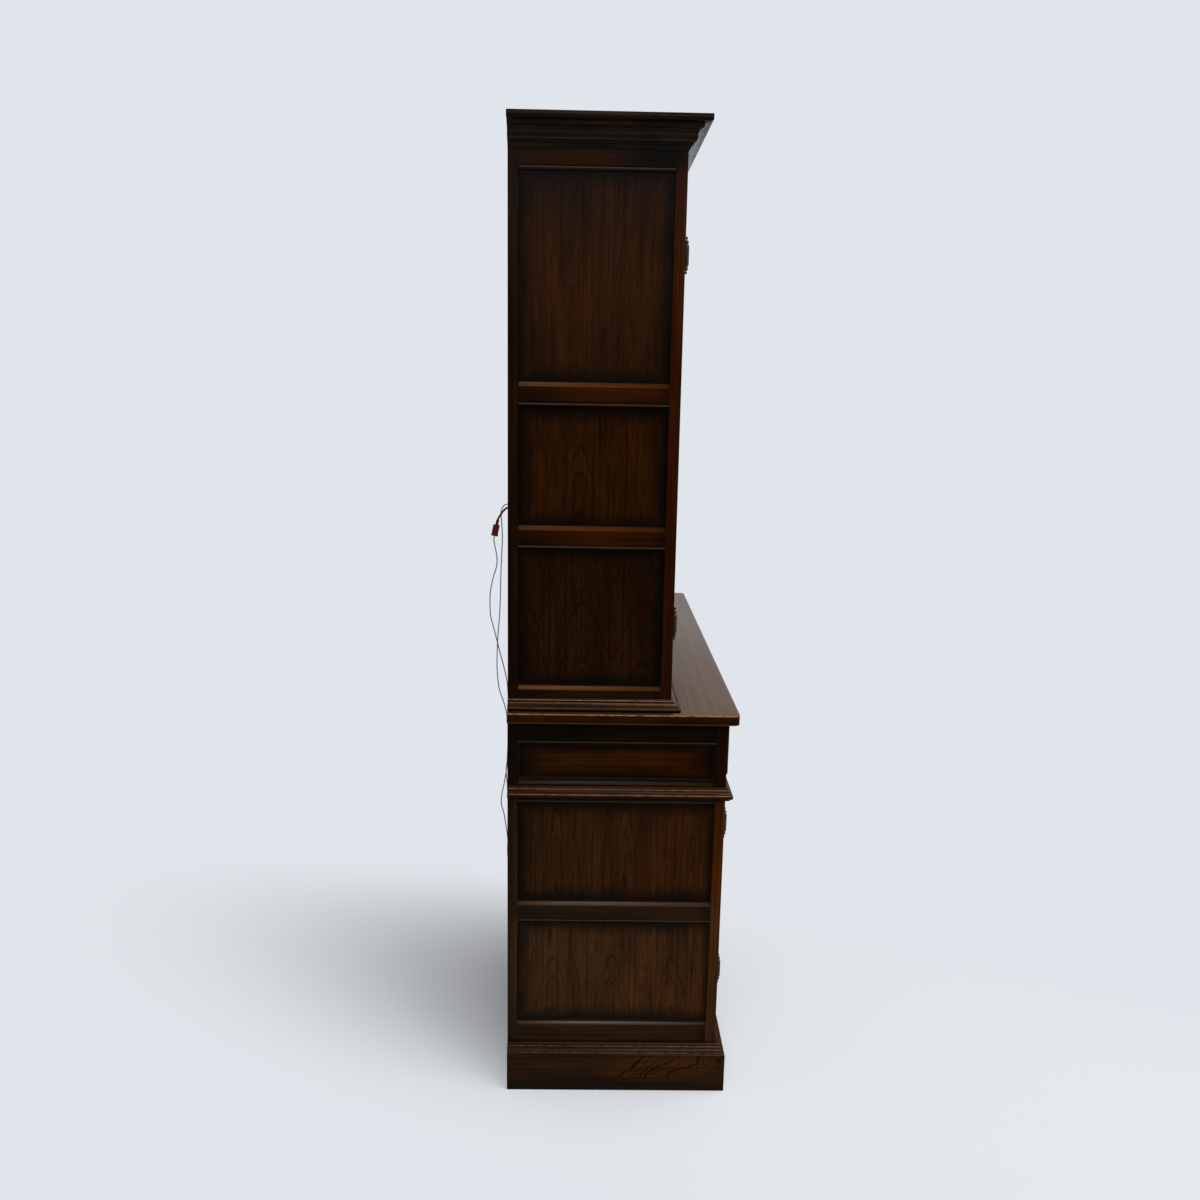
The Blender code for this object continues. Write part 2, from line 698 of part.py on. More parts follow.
def mouldings():
    plinth_top = PLINTH_HEIGHT + PLINTH_CAP_HEIGHT
    step = PLINTH_CAP_HEIGHT
    plinth = [(0, 0), (PLINTH_PROJECTION, 0), (PLINTH_PROJECTION, PLINTH_HEIGHT)]
    plinth += [(0.86 * PLINTH_PROJECTION, PLINTH_HEIGHT + 0.05 * step)]
    plinth += arc((0.86 * PLINTH_PROJECTION, PLINTH_HEIGHT + 0.22 * step),
                  (0.52 * PLINTH_PROJECTION, PLINTH_HEIGHT + 0.55 * step), True)
    plinth += [(0.52 * PLINTH_PROJECTION, PLINTH_HEIGHT + 0.66 * step)]
    plinth += arc((0.40 * PLINTH_PROJECTION, PLINTH_HEIGHT + 0.68 * step),
                  (0.20 * PLINTH_PROJECTION, plinth_top), True)
    plinth += [(0, plinth_top)]
    finish("plinth", moulding(plinth, round_front(BASE_HALF, BASE_FRONT)), "oak_moulding")

    tall = WAIST_HEIGHT
    waist = [(0, WAIST_BOTTOM), (0.55 * WAIST_PROJECTION, WAIST_BOTTOM),
             (0.55 * WAIST_PROJECTION, WAIST_BOTTOM + 0.09 * tall),
             (0.80 * WAIST_PROJECTION, WAIST_BOTTOM + 0.16 * tall)]
    waist += arc((0.97 * WAIST_PROJECTION, WAIST_BOTTOM + 0.24 * tall),
                 (WAIST_PROJECTION, WAIST_BOTTOM + 0.42 * tall), True, 2)
    waist += arc((0.93 * WAIST_PROJECTION, WAIST_BOTTOM + 0.52 * tall),
                 (0.40 * WAIST_PROJECTION, WAIST_BOTTOM + 0.86 * tall), False)
    waist += [(0.28 * WAIST_PROJECTION, WAIST_BOTTOM + tall), (0, WAIST_BOTTOM + tall)]
    finish("waist_moulding", moulding(waist, round_front(BASE_HALF, BASE_FRONT)), "oak_moulding")

    foot = COUNTER_TOP + GAP
    tall = FOOT_HEIGHT
    base = [(0, foot), (FOOT_PROJECTION, foot), (FOOT_PROJECTION, foot + 0.33 * tall),
            (0.80 * FOOT_PROJECTION, foot + 0.36 * tall)]
    base += arc((0.78 * FOOT_PROJECTION, foot + 0.44 * tall),
                (0.32 * FOOT_PROJECTION, foot + 0.78 * tall), False)
    base += [(0.32 * FOOT_PROJECTION, foot + 0.86 * tall)]
    base += arc((0.24 * FOOT_PROJECTION, foot + 0.88 * tall),
                (0.14 * FOOT_PROJECTION, foot + tall), True, 2)
    base += [(0, foot + tall)]
    finish("foot_moulding", moulding(base, round_front(UPPER_HALF, UPPER_FRONT)), "oak_moulding")

    low = TOTAL_HEIGHT - CORNICE_HEIGHT
    ledge = TOTAL_HEIGHT - CORNICE_FASCIA
    reach = CORNICE_PROJECTION
    bed = ledge - low
    crown = [(0, low), (0.14 * reach, low + 0.20 * bed), (0.19 * reach, low + 0.22 * bed)]
    crown += arc((0.22 * reach, low + 0.30 * bed), (0.36 * reach, low + 0.42 * bed), False, 3)
    crown += arc((0.36 * reach, low + 0.46 * bed), (0.57 * reach, low + 0.78 * bed), True)
    crown += [(0.62 * reach, low + 0.80 * bed), (0.65 * reach, low + 0.94 * bed),
              (0.97 * reach, low + 0.98 * bed)]
    crown += [(reach, ledge + 0.15 * CORNICE_FASCIA), (reach, TOTAL_HEIGHT), (0, TOTAL_HEIGHT)]
    finish("cornice", moulding(crown, round_front(UPPER_HALF, UPPER_FRONT)), "oak_moulding")


# The counter top has two rounded front corners and softened arrises.
def counter_top():
    half = COUNTER_WIDTH / 2
    nose = BASE_FRONT - COUNTER_NOSE
    corner = [(half - COUNTER_CORNER + COUNTER_CORNER * math.sin(turn),
               nose + COUNTER_CORNER - COUNTER_CORNER * math.cos(turn))
              for turn in (math.pi / 2 * step / 6 for step in range(7))]
    left = [(-across, along) for across, along in reversed(corner)]
    outline = [(-half, BACK)] + left + corner + [(half, BACK)]
    top = slab([outline], "Z", COUNTER_UNDERSIDE, COUNTER_TOP)
    finish("counter_top", bevelled(top, COUNTER_ARRIS, 2), "oak_counter")


# The profile of a door's stile, as (in from the inner edge, towards the front) points:
# a moulded inner edge in front, and a groove that holds the pane or panel
def stile_profile(stile, held):
    back = -DOOR_THICKNESS
    groove = -DOOR_REBATE
    groove_back = groove - held - 2 * GAP
    wide = DOOR_MOULDING
    return [
        (stile, back), (0, back), (0, groove_back), (DOOR_REBATE, groove_back), (DOOR_REBATE, groove),
        (0, groove), (0, -0.62 * wide), (0.35 * wide, -0.48 * wide), (0.75 * wide, -0.34 * wide),
        (0.82 * wide, -0.16 * wide), (wide, -0.12 * wide), (1.1 * wide, 0), (stile, 0),
    ]


# A rectangular frame with mitred corners, standing in the plane of the front
def standing_frame(profile, left, low, right, high, front):
    path = [(left, low), (left, high), (right, high), (right, low)]
    path.reverse()
    return moulding(profile, path, True, Matrix.Translation((0, front, 0)) @ TURNS["Y"])


def knob(name, x, front, z, parent):
    reach = KNOB_REACH
    wide = KNOB_RADIUS
    profile = [(0, reach), (0.50 * wide, 0.985 * reach), (0.86 * wide, 0.90 * reach), (wide, 0.74 * reach),
               (0.86 * wide, 0.57 * reach), (0.50 * wide, 0.45 * reach), (0.38 * wide, 0.28 * reach),
               (0.50 * wide, 0.16 * reach), (0.86 * wide, 0.125 * reach), (wide, 0.09 * reach),
               (wide, GAP), (0, GAP)]
    turn = Matrix.Rotation(math.pi / 2, 4, "X")
    finish(name, turned(profile, Matrix.Translation((x, front, z)) @ turn), "antique_brass", parent)


# A hinge: a barrel with a ball finial at each end, and a leaf in the gap beside the door
def hinge(name, side, half, front, z):
    edge = side * (half - POST_WIDTH)
    axis = edge - side * DOOR_GAP / 2
    tip = HINGE_BARREL / 2 + HINGE_FINIAL
    barrel = HINGE_BARREL / 2
    upper = [(0, tip), (0.30, tip - 0.06 * HINGE_FINIAL), (0.42, tip - 0.20 * HINGE_FINIAL),
             (0.22, tip - 0.36 * HINGE_FINIAL), (0.62, tip - 0.50 * HINGE_FINIAL),
             (0.80, tip - 0.66 * HINGE_FINIAL), (0.56, tip - 0.84 * HINGE_FINIAL),
             (0.90, tip - 0.90 * HINGE_FINIAL), (0.90, barrel), (1, barrel - 0.02 * HINGE_BARREL),
             (1, 0.18 * HINGE_BARREL), (0.86, 0.165 * HINGE_BARREL), (1, 0.15 * HINGE_BARREL)]
    profile = [(radius if radius == 0 else radius * HINGE_RADIUS, height) for radius, height in upper]
    profile += [(radius, -height) for radius, height in reversed(profile)]
    body = turned(profile, Matrix.Translation((axis, front - HINGE_OFFSET, z)), 10)
    ends = sorted((edge - side * GAP, edge - side * (GAP + HINGE_LEAF_THICKNESS)))
    leaf = block((ends[0], front - HINGE_OFFSET, z - barrel),
                 (ends[1], front + HINGE_LEAF_DEPTH, z + barrel))
    finish(name, fuse(body, leaf), "antique_brass")


def door_axis(name, side, half, front):
    axis = side * (half - POST_WIDTH - DOOR_GAP / 2)
    return pivot(name, (axis, front - HINGE_OFFSET, 0))


# The leading: a border and diamond quarries, cut as holes out of one flat outline
def leading(left, low, right, high, front, back):
    columns = round((right - left) / DIAMOND_WIDTH)
    rows = round((high - low) / DIAMOND_HEIGHT)
    inner_left = left + LEAD_BORDER
    inner_right = right - LEAD_BORDER
    inner_low = low + LEAD_BORDER
    inner_high = high - LEAD_BORDER
    wide = (inner_right - inner_left) / columns
    tall = (inner_high - inner_low) / rows
    slope = math.hypot(wide, tall)
    across = wide / 2 - CAME_WIDTH / 2 * slope / tall
    up = tall / 2 - CAME_WIDTH / 2 * slope / wide
    side_step = CAME_WIDTH / 2 * slope / tall
    rise_step = CAME_WIDTH / 2 * slope / wide
    outlines = [rectangle(left, low, right, high)]
    for row in range(2 * rows + 1):
        for column in range(2 * columns + 1):
            if (row + column) % 2 == 0:
                continue
            x = inner_left + column * wide / 2
            z = inner_low + row * tall / 2
            corners = [(x + across, z), (x, z + up), (x - across, z), (x, z - up)]
            if column == 0:
                corners = [(x + across, z), (x, z + up), (x, z - up)]
            elif column == 2 * columns:
                corners = [(x, z + up), (x - across, z), (x, z - up)]
            elif row == 0:
                corners = [(x + across, z), (x, z + up), (x - across, z)]
            elif row == 2 * rows:
                corners = [(x + across, z), (x - across, z), (x, z - up)]
            outlines.append(corners)
    return slab(outlines, "Y", front, back)


def glass_doors():
    sill = COUNTER_TOP + UPPER_DOOR_SILL
    head = TOTAL_HEIGHT - UPPER_DOOR_HEAD_DROP
    low = sill + DOOR_GAP
    high = head - DOOR_GAP
    stile = GLASS_DOOR_STILE
    for word, side in (("left", -1), ("right", 1)):
        bay_left, bay_right = bays(UPPER_HALF)[word]
        left = bay_left + DOOR_GAP
        right = bay_right - DOOR_GAP
        swing = door_axis(f"{word}_glass_door_axis", side, UPPER_HALF, UPPER_FRONT)
        frame = standing_frame(stile_profile(stile, PANE_THICKNESS), left + stile, low + stile,
                               right - stile, high - stile, UPPER_FRONT)
        finish(f"{word}_glass_door_frame", frame, "oak_frame", swing)
        reach = stile - DOOR_REBATE + GAP
        pane_front = UPPER_FRONT + DOOR_REBATE + GAP
        pane = block((left + reach, pane_front, low + reach),
                     (right - reach, pane_front + PANE_THICKNESS, high - reach))
        finish(f"{word}_pane", pane, "clear_glass", swing)
        sight = stile + GAP
        lead_back = pane_front - GAP
        came = leading(left + sight, low + sight, right - sight, high - sight,
                       lead_back - LEAD_DEPTH, lead_back)
        finish(f"{word}_leading", came, "lead_came", swing)
        x = (right - stile / 2) if side < 0 else (left + stile / 2)
        knob(f"{word}_glass_door_knob", x, UPPER_FRONT, COUNTER_TOP + UPPER_KNOB_HEIGHT, swing)
        heights = {"top": head - UPPER_HINGE_DROP, "bottom": sill + UPPER_HINGE_RISE}
        for level, z in heights.items():
            hinge(f"{word}_glass_door_{level}_hinge", side, UPPER_HALF, UPPER_FRONT, z)


# A fielded panel: thin edges in the grooves, and a raised middle with sloping margins
def fielded_panel(left, low, right, high, back):
    shape = bmesh.new()
    size = Vector((right - left, DOOR_PANEL_EDGE, high - low))
    bmesh.ops.create_cube(shape, size=1, matrix=Matrix.Diagonal((*size, 1)))
    face = min(shape.faces, key=lambda item: item.calc_center_median().y)
    for margin, rise in ((DOOR_REBATE + GAP, 0), (FIELD_MARGIN, FIELD_RISE - FIELD_STEP)):
        bmesh.ops.inset_region(shape, faces=[face], thickness=margin, depth=rise, use_even_offset=True)
    grown = bmesh.ops.extrude_face_region(shape, geom=[face])
    bmesh.ops.delete(shape, geom=[face], context="FACES")
    raised = [item for item in grown["geom"] if isinstance(item, bmesh.types.BMVert)]
    bmesh.ops.translate(shape, verts=raised, vec=(0, -FIELD_STEP, 0))
    mesh = bpy.data.meshes.new("panel")
    shape.to_mesh(mesh)
    shape.free()
    centre = ((left + right) / 2, back - DOOR_PANEL_EDGE / 2, (low + high) / 2)
    return place(mesh, Matrix.Translation(centre))


def base_doors():
    low = DOOR_SILL + DOOR_GAP
    high = WAIST_BOTTOM - DOOR_GAP
    stile = BASE_DOOR_STILE
    for word, side in (("left", -1), ("right", 1)):
        bay_left, bay_right = bays(BASE_HALF)[word]
        left = bay_left + DOOR_GAP
        right = bay_right - DOOR_GAP
        swing = door_axis(f"{word}_base_door_axis", side, BASE_HALF, BASE_FRONT)
        frame = standing_frame(stile_profile(stile, DOOR_PANEL_EDGE), left + stile, low + stile,
                               right - stile, high - stile, BASE_FRONT)
        finish(f"{word}_base_door_frame", frame, "oak_frame", swing)
        reach = stile - DOOR_REBATE + GAP
        panel_back = BASE_FRONT + DOOR_REBATE + GAP + DOOR_PANEL_EDGE
        panel = fielded_panel(left + reach, low + reach, right - reach, high - reach, panel_back)
        finish(f"{word}_base_door_panel", panel, "oak_panel", swing)
        x = (right - stile / 2) if side < 0 else (left + stile / 2)
        knob(f"{word}_base_door_knob", x, BASE_FRONT, WAIST_BOTTOM - BASE_KNOB_DROP, swing)
        heights = {"top": WAIST_BOTTOM - BASE_HINGE_DROP, "bottom": DOOR_SILL + BASE_HINGE_RISE}
        for level, z in heights.items():
            hinge(f"{word}_base_door_{level}_hinge", side, BASE_HALF, BASE_FRONT, z)


# A drawer: a front with a raised moulding round it, and an open box behind
def drawer(word, bay_left, bay_right):
    left = bay_left + DRAWER_CLEARANCE
    right = bay_right - DRAWER_CLEARANCE
    low = DRAWER_SILL + DRAWER_CLEARANCE
    high = DRAWER_HEAD - DRAWER_CLEARANCE
    front = block((left, BASE_FRONT, low), (right, BASE_FRONT + DRAWER_FRONT_THICKNESS, high))
    rise = DRAWER_MOULDING_RISE
    wide = DRAWER_MOULDING_WIDTH
    profile = [(0, -GAP), (0, 0.25 * rise)]
    profile += arc((0.10 * wide, 0.35 * rise), (0.45 * wide, 0.80 * rise), False, 3)
    profile += [(0.50 * wide, rise), (0.86 * wide, rise), (0.95 * wide, 0.72 * rise), (0.98 * wide, -GAP)]
    raised = standing_frame(profile, left + wide, low + wide, right - wide, high - wide, BASE_FRONT)
    box_left = left + DRAWER_CLEARANCE / 2
    box_right = right - DRAWER_CLEARANCE / 2
    box_back = BASE_FRONT + DRAWER_FRONT_THICKNESS + DRAWER_BOX_DEPTH
    box_low = DRAWER_SILL + GAP
    inside_front = BASE_FRONT + DRAWER_FRONT_THICKNESS
    box_top = box_low + DRAWER_SIDE_HEIGHT
    let_in = 0.4 * DRAWER_FRONT_THICKNESS
    body = block((box_left, inside_front - let_in, box_low), (box_right, box_back, box_top))
    hollow = block((box_left + DRAWER_WALL, inside_front - let_in / 2, box_low + DRAWER_FLOOR),
                   (box_right - DRAWER_WALL, box_back - DRAWER_WALL, box_top + DRAWER_FLOOR))
    box = cut(body, hollow)
    slide = pivot(f"{word}_drawer_axis", ((left + right) / 2, BASE_FRONT, (low + high) / 2))
    finish(f"{word}_drawer", fuse(front, raised, box), "oak_drawer", slide)
    return slide, (left + right) / 2, (low + high) / 2


# The drop handle's back plate, with its two ball pommels fused on
def handle_plate(word, x, z, parent):
    wide = PLATE_HALF_WIDTH
    tall = PLATE_HALF_HEIGHT
    quarter = [(wide, 0), (0.90 * wide, 0.55 * tall), (0.62 * wide, 0.62 * tall), (0.50 * wide, 0.45 * tall),
               (0.24 * wide, 0.62 * tall), (0.12 * wide, tall)]
    upper = quarter + [(-across, up) for across, up in reversed(quarter)]
    outline = upper + [(across, -up) for across, up in reversed(upper[1:-1])]
    placed = [(x + across, z + up) for across, up in outline]
    face = BASE_FRONT - PLATE_THICKNESS - GAP
    plate = slab([placed], "Y", face, BASE_FRONT - GAP)
    radius = POMMEL_RADIUS
    reach = POMMEL_REACH
    profile = [(0, reach + radius)]
    profile += [(radius * math.sin(turn), reach + radius * math.cos(turn))
                for turn in (math.radians(35), math.radians(70), math.radians(105))]
    root = -PLATE_THICKNESS / 2
    profile += [(0.55 * radius, reach - 0.84 * radius), (0.55 * radius, 0.2 * reach),
                (0.95 * radius, 0.1 * reach), (0.95 * radius, root), (0, root)]
    turn = Matrix.Rotation(math.pi / 2, 4, "X")
    pommels = [turned(profile, Matrix.Translation((x + side * POMMEL_SPACING / 2, face, z)) @ turn, 10)
               for side in (-1, 1)]
    finish(f"{word}_handle_plate", fuse(plate, *pommels), "antique_brass", parent)
    return face - POMMEL_REACH


# The bail's route: in at one pommel's side, down, across with rounded corners, and up
def bail_route(x, y, z):
    end = POMMEL_SPACING / 2 + POMMEL_RADIUS + GAP
    leg = end + BAIL_SPREAD
    radius = BAIL_CORNER
    half = [Vector((end, 0)), Vector((end + 0.35 * BAIL_SPREAD, 0))]
    small = BAIL_SPREAD * 0.6
    for step in range(4):
        turn = math.pi / 2 * step / 3
        half.append(Vector((leg - small + small * math.sin(turn), -small + small * math.cos(turn))))
    for step in range(6):
        turn = math.pi / 2 * step / 5
        along = leg - radius + radius * math.cos(turn)
        half.append(Vector((along, radius - BAIL_DROP - radius * math.sin(turn))))
    half.append(Vector((0.4 * leg, -BAIL_DROP - BAIL_SAG)))
    right = [(x + point.x, y, z + point.y) for point in half]
    left = [(x - point.x, y, z + point.y) for point in reversed(half)]
    return right + left


# The pommels sit above the drawer's middle, so that the whole handle looks centred.
def drawers():
    for word, (bay_left, bay_right) in bays(BASE_HALF).items():
        slide, x, z = drawer(word, bay_left, bay_right)
        z += BAIL_DROP / 3
        y = handle_plate(word, x, z, slide)
        swing = pivot(f"{word}_bail_axis", (x, y, z))
        swing.parent = slide
        swing.matrix_parent_inverse = slide.matrix_world.inverted()
        bpy.context.view_layer.update()
        finish(f"{word}_bail", tube(bail_route(x, y, z), BAIL_THICKNESS, 1), "antique_brass", swing)


# A smooth route through the chosen points, read off at even steps
def smooth_route(points, spacing):
    route = [Vector(point) for point in points]
    ends = [2 * route[0] - route[1]] + route + [2 * route[-1] - route[-2]]
    fine = []
    for index in range(1, len(ends) - 2):
        before, start, stop, after = ends[index - 1:index + 3]
        for step in range(12):
            t = step / 12
            fine.append(0.5 * (2 * start + (stop - before) * t
                               + (2 * before - 5 * start + 4 * stop - after) * t ** 2
                               + (3 * start - before - 3 * stop + after) * t ** 3))
    fine.append(route[-1])
    length = sum((b - a).length for a, b in zip(fine, fine[1:]))
    count = round(length / spacing)
    even = [fine[0]]
    travelled = 0
    for a, b in zip(fine, fine[1:]):
        run = (b - a).length
        while len(even) < count and travelled + run >= length * len(even) / count:
            share = (length * len(even) / count - travelled) / run
            even.append(a.lerp(b, share))
        travelled += run
    even.append(fine[-1])
    return even


# The route of each lead: in from the base's left side, behind the back plane, height
RED_ROUTE = [(0.0530, 0.0002, 1.3015), (0.0530, 0.0045, 1.3013), (0.0530, 0.0110, 1.2960),
             (0.0530, 0.0170, 1.2880), (0.0530, 0.0218, 1.2800), (0.0530, 0.0236, 1.2750)]
LEAD_A_ROUTE = [(0.0530, 0.0306, 1.2423), (0.0530, 0.0318, 1.2365), (0.0535, 0.0300, 1.2233),
                (0.0540, 0.0256, 1.1990), (0.0540, 0.0262, 1.1790), (0.0540, 0.0330, 1.1560),
                (0.0540, 0.0388, 1.1277), (0.0540, 0.0403, 1.1062), (0.0545, 0.0392, 1.0739),
                (0.0560, 0.0330, 1.0470), (0.0580, 0.0265, 1.0198), (0.0610, 0.0190, 0.9871),
                (0.0660, 0.0102, 0.9498), (0.0720, 0.0052, 0.9180), (0.0780, 0.0036, 0.8700),
                (0.0800, 0.0038, 0.8100), (0.0790, 0.0062, 0.7450), (0.0790, 0.0086, 0.7180),
                (0.0800, 0.0064, 0.6890), (0.0850, 0.0044, 0.6400), (0.0980, 0.0042, 0.5800),
                (0.1200, 0.0050, 0.5260), (0.1500, 0.0070, 0.4900), (0.1780, 0.0105, 0.4790),
                (0.1950, 0.0138, 0.4880), (0.2000, 0.0120, 0.4985), (0.2000, 0.0040, 0.5015),
                (0.2000, -0.0080, 0.5015)]
LEAD_B_ROUTE = [(0.0590, 0.0002, 1.3085), (0.0590, 0.0060, 1.3083), (0.0600, 0.0128, 1.3040),
                (0.0620, 0.0172, 1.2900), (0.0625, 0.0158, 1.2654), (0.0620, 0.0148, 1.2340),
                (0.0610, 0.0170, 1.1812), (0.0610, 0.0182, 1.1493), (0.0620, 0.0193, 1.1065),
                (0.0625, 0.0215, 1.0633), (0.0640, 0.0245, 1.0307), (0.0655, 0.0262, 0.9980),
                (0.0670, 0.0268, 0.9539), (0.0680, 0.0224, 0.9096), (0.0700, 0.0110, 0.8718),
                (0.0720, 0.0046, 0.8350), (0.0710, 0.0040, 0.7900), (0.0700, 0.0054, 0.7404),
                (0.0690, 0.0118, 0.6942), (0.0680, 0.0166, 0.6710), (0.0680, 0.0184, 0.6454),
                (0.0690, 0.0122, 0.6200), (0.0710, 0.0048, 0.5657), (0.0780, 0.0038, 0.5200),
                (0.1000, 0.0044, 0.4720), (0.1350, 0.0066, 0.4480), (0.1720, 0.0100, 0.4500),
                (0.1960, 0.0140, 0.4720), (0.2000, 0.0130, 0.4880), (0.2000, 0.0045, 0.4945),
                (0.2000, -0.0080, 0.4945)]


def world_route(route):
    return [Vector((inward - BASE_HALF, BACK + behind, height)) for inward, behind, height in route]


def grommet(name, inset, height):
    lip = GROMMET_LIP
    profile = [(0, lip), (0.75 * GROMMET_FLANGE, lip), (GROMMET_FLANGE, 0.4 * lip), (GROMMET_FLANGE, GAP),
               (GROMMET_RADIUS, GAP), (GROMMET_RADIUS, -BACK_THICKNESS), (0, -BACK_THICKNESS)]
    turn = Matrix.Rotation(-math.pi / 2, 4, "X")
    matrix = Matrix.Translation((inset - BASE_HALF, BACK_FACE, height)) @ turn
    finish(name, turned(profile, matrix, 16), "black_rubber")


def lights_and_leads():
    grommet("upper_grommet", UPPER_EXIT_INSET, UPPER_EXIT_HEIGHT)
    under = CARCASS_TOP - BOARD_THICKNESS - GAP
    wide = LIGHT_RADIUS
    lens = -0.82 * LIGHT_DEPTH
    profile = [(0, 0), (wide, 0), (wide, -0.75 * LIGHT_DEPTH), (0.94 * wide, -LIGHT_DEPTH),
               (0.80 * wide, -LIGHT_DEPTH), (0.74 * wide, lens), (0, lens)]
    middle = (UPPER_FRONT + FRONT_THICKNESS + BACK_INNER) / 2
    finish("cabinet_light", turned(profile, Matrix.Translation((0, middle, under)), 20), "white_plastic")
    # The leads reach the driver a quarter of the way along it.
    wide, deep, tall = DRIVER_SIZE
    rear = BACK_INNER - GAP
    left = BASE_EXIT_INSET - BASE_HALF - wide / 4
    low = BASE_EXIT_HEIGHT - tall / 2
    driver = block((left, rear - deep, low), (left + wide, rear, low + tall))
    finish("light_driver", bevelled(driver, DRIVER_ARRIS, 2), "white_plastic")
    size = Vector(CONNECTOR_SIZE)
    housing = bevelled(block(-size / 2, size / 2), CONNECTOR_ARRIS, 2)
    seat = Matrix.Translation((CONNECTOR_INSET - BASE_HALF, BACK + CONNECTOR_BEHIND, CONNECTOR_HEIGHT))
    housing.matrix_world = seat @ Matrix.Rotation(CONNECTOR_TILT, 4, "X")
    red = tube(smooth_route(world_route(RED_ROUTE), RED_LEAD_DIAMETER), RED_LEAD_DIAMETER)
    finish("red_connector", fuse(housing, red), "red_plastic")
    for name, route in (("lead_a", LEAD_A_ROUTE), ("lead_b", LEAD_B_ROUTE)):
        points = smooth_route(world_route(route), LEAD_STEP)
        finish(name, tube(points, LEAD_DIAMETER), "grey_lead")


def main():
    base_sides()
    base_carcass()
    mouldings()
    counter_top()
    drawers()
    base_doors()
    upper_sides()
    upper_carcass()
    glass_doors()
    lights_and_leads()
    bpy.context.view_layer.update()


main()
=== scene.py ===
# Looks for a tall oak display cabinet: dark antique-finished oak, leaded glass,
# dark brass fittings and the two low-voltage leads behind its back.
import functools
import math

import bpy
from mathutils import Matrix, Vector


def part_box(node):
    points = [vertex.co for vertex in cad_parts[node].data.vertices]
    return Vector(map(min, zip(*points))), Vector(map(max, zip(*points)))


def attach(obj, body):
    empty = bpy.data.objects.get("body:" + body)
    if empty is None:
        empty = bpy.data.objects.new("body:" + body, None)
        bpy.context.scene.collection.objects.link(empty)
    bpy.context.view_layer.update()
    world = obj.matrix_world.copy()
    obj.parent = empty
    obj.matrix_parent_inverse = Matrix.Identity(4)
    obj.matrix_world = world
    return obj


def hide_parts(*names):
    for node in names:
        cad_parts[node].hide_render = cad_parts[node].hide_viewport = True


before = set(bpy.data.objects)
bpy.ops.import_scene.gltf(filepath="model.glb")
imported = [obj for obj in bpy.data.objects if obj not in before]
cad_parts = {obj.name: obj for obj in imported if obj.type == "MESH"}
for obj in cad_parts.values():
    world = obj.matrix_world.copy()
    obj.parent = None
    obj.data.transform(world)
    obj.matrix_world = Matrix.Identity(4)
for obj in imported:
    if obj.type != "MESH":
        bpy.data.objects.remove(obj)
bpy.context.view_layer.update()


# What the camera sees: the cabinet's left side, from three quarters of its height
view = {
    "eye": (-2.75762, 0.09278, 1.55895),
    "yaw": -0.0169206,
    "pitch": 0.2033906,
    "roll": 0.0175934,
    "lens": 31.681,        # on a 36 mm wide square sensor
}


def addCamera():
    flat = math.cos(view["pitch"])
    ahead = Vector((flat * math.cos(view["yaw"]), flat * math.sin(view["yaw"]),
                    -math.sin(view["pitch"])))
    level = ahead.cross(Vector((0, 0, 1))).normalized()
    upright = level.cross(ahead)
    right = level * math.cos(view["roll"]) + upright * math.sin(view["roll"])
    up = upright * math.cos(view["roll"]) - level * math.sin(view["roll"])
    bpy.ops.object.camera_add()
    camera = bpy.context.object
    camera.name = "camera"
    camera.data.lens = view["lens"]
    camera.data.sensor_width = 36
    camera.data.clip_end = 60
    turn = Matrix((right, up, -ahead)).transposed().to_4x4()
    camera.matrix_world = Matrix.Translation(view["eye"]) @ turn
    bpy.context.scene.camera = camera


addCamera()
print("camera set")


# A wire's link into a node's socket, or a plain value there
def plug(value, node, name):
    if isinstance(value, Wire):
        value.tree.links.new(value.socket, node.inputs[name])
    else:
        node.inputs[name].default_value = value


# A sum of two wires, and its form for a plain number ahead of the wire
def bothWays(operation):
    def forward(self, other):
        return self.maths(operation, self, other)

    def reflected(self, other):
        return self.maths(operation, other, self)
    return forward, reflected


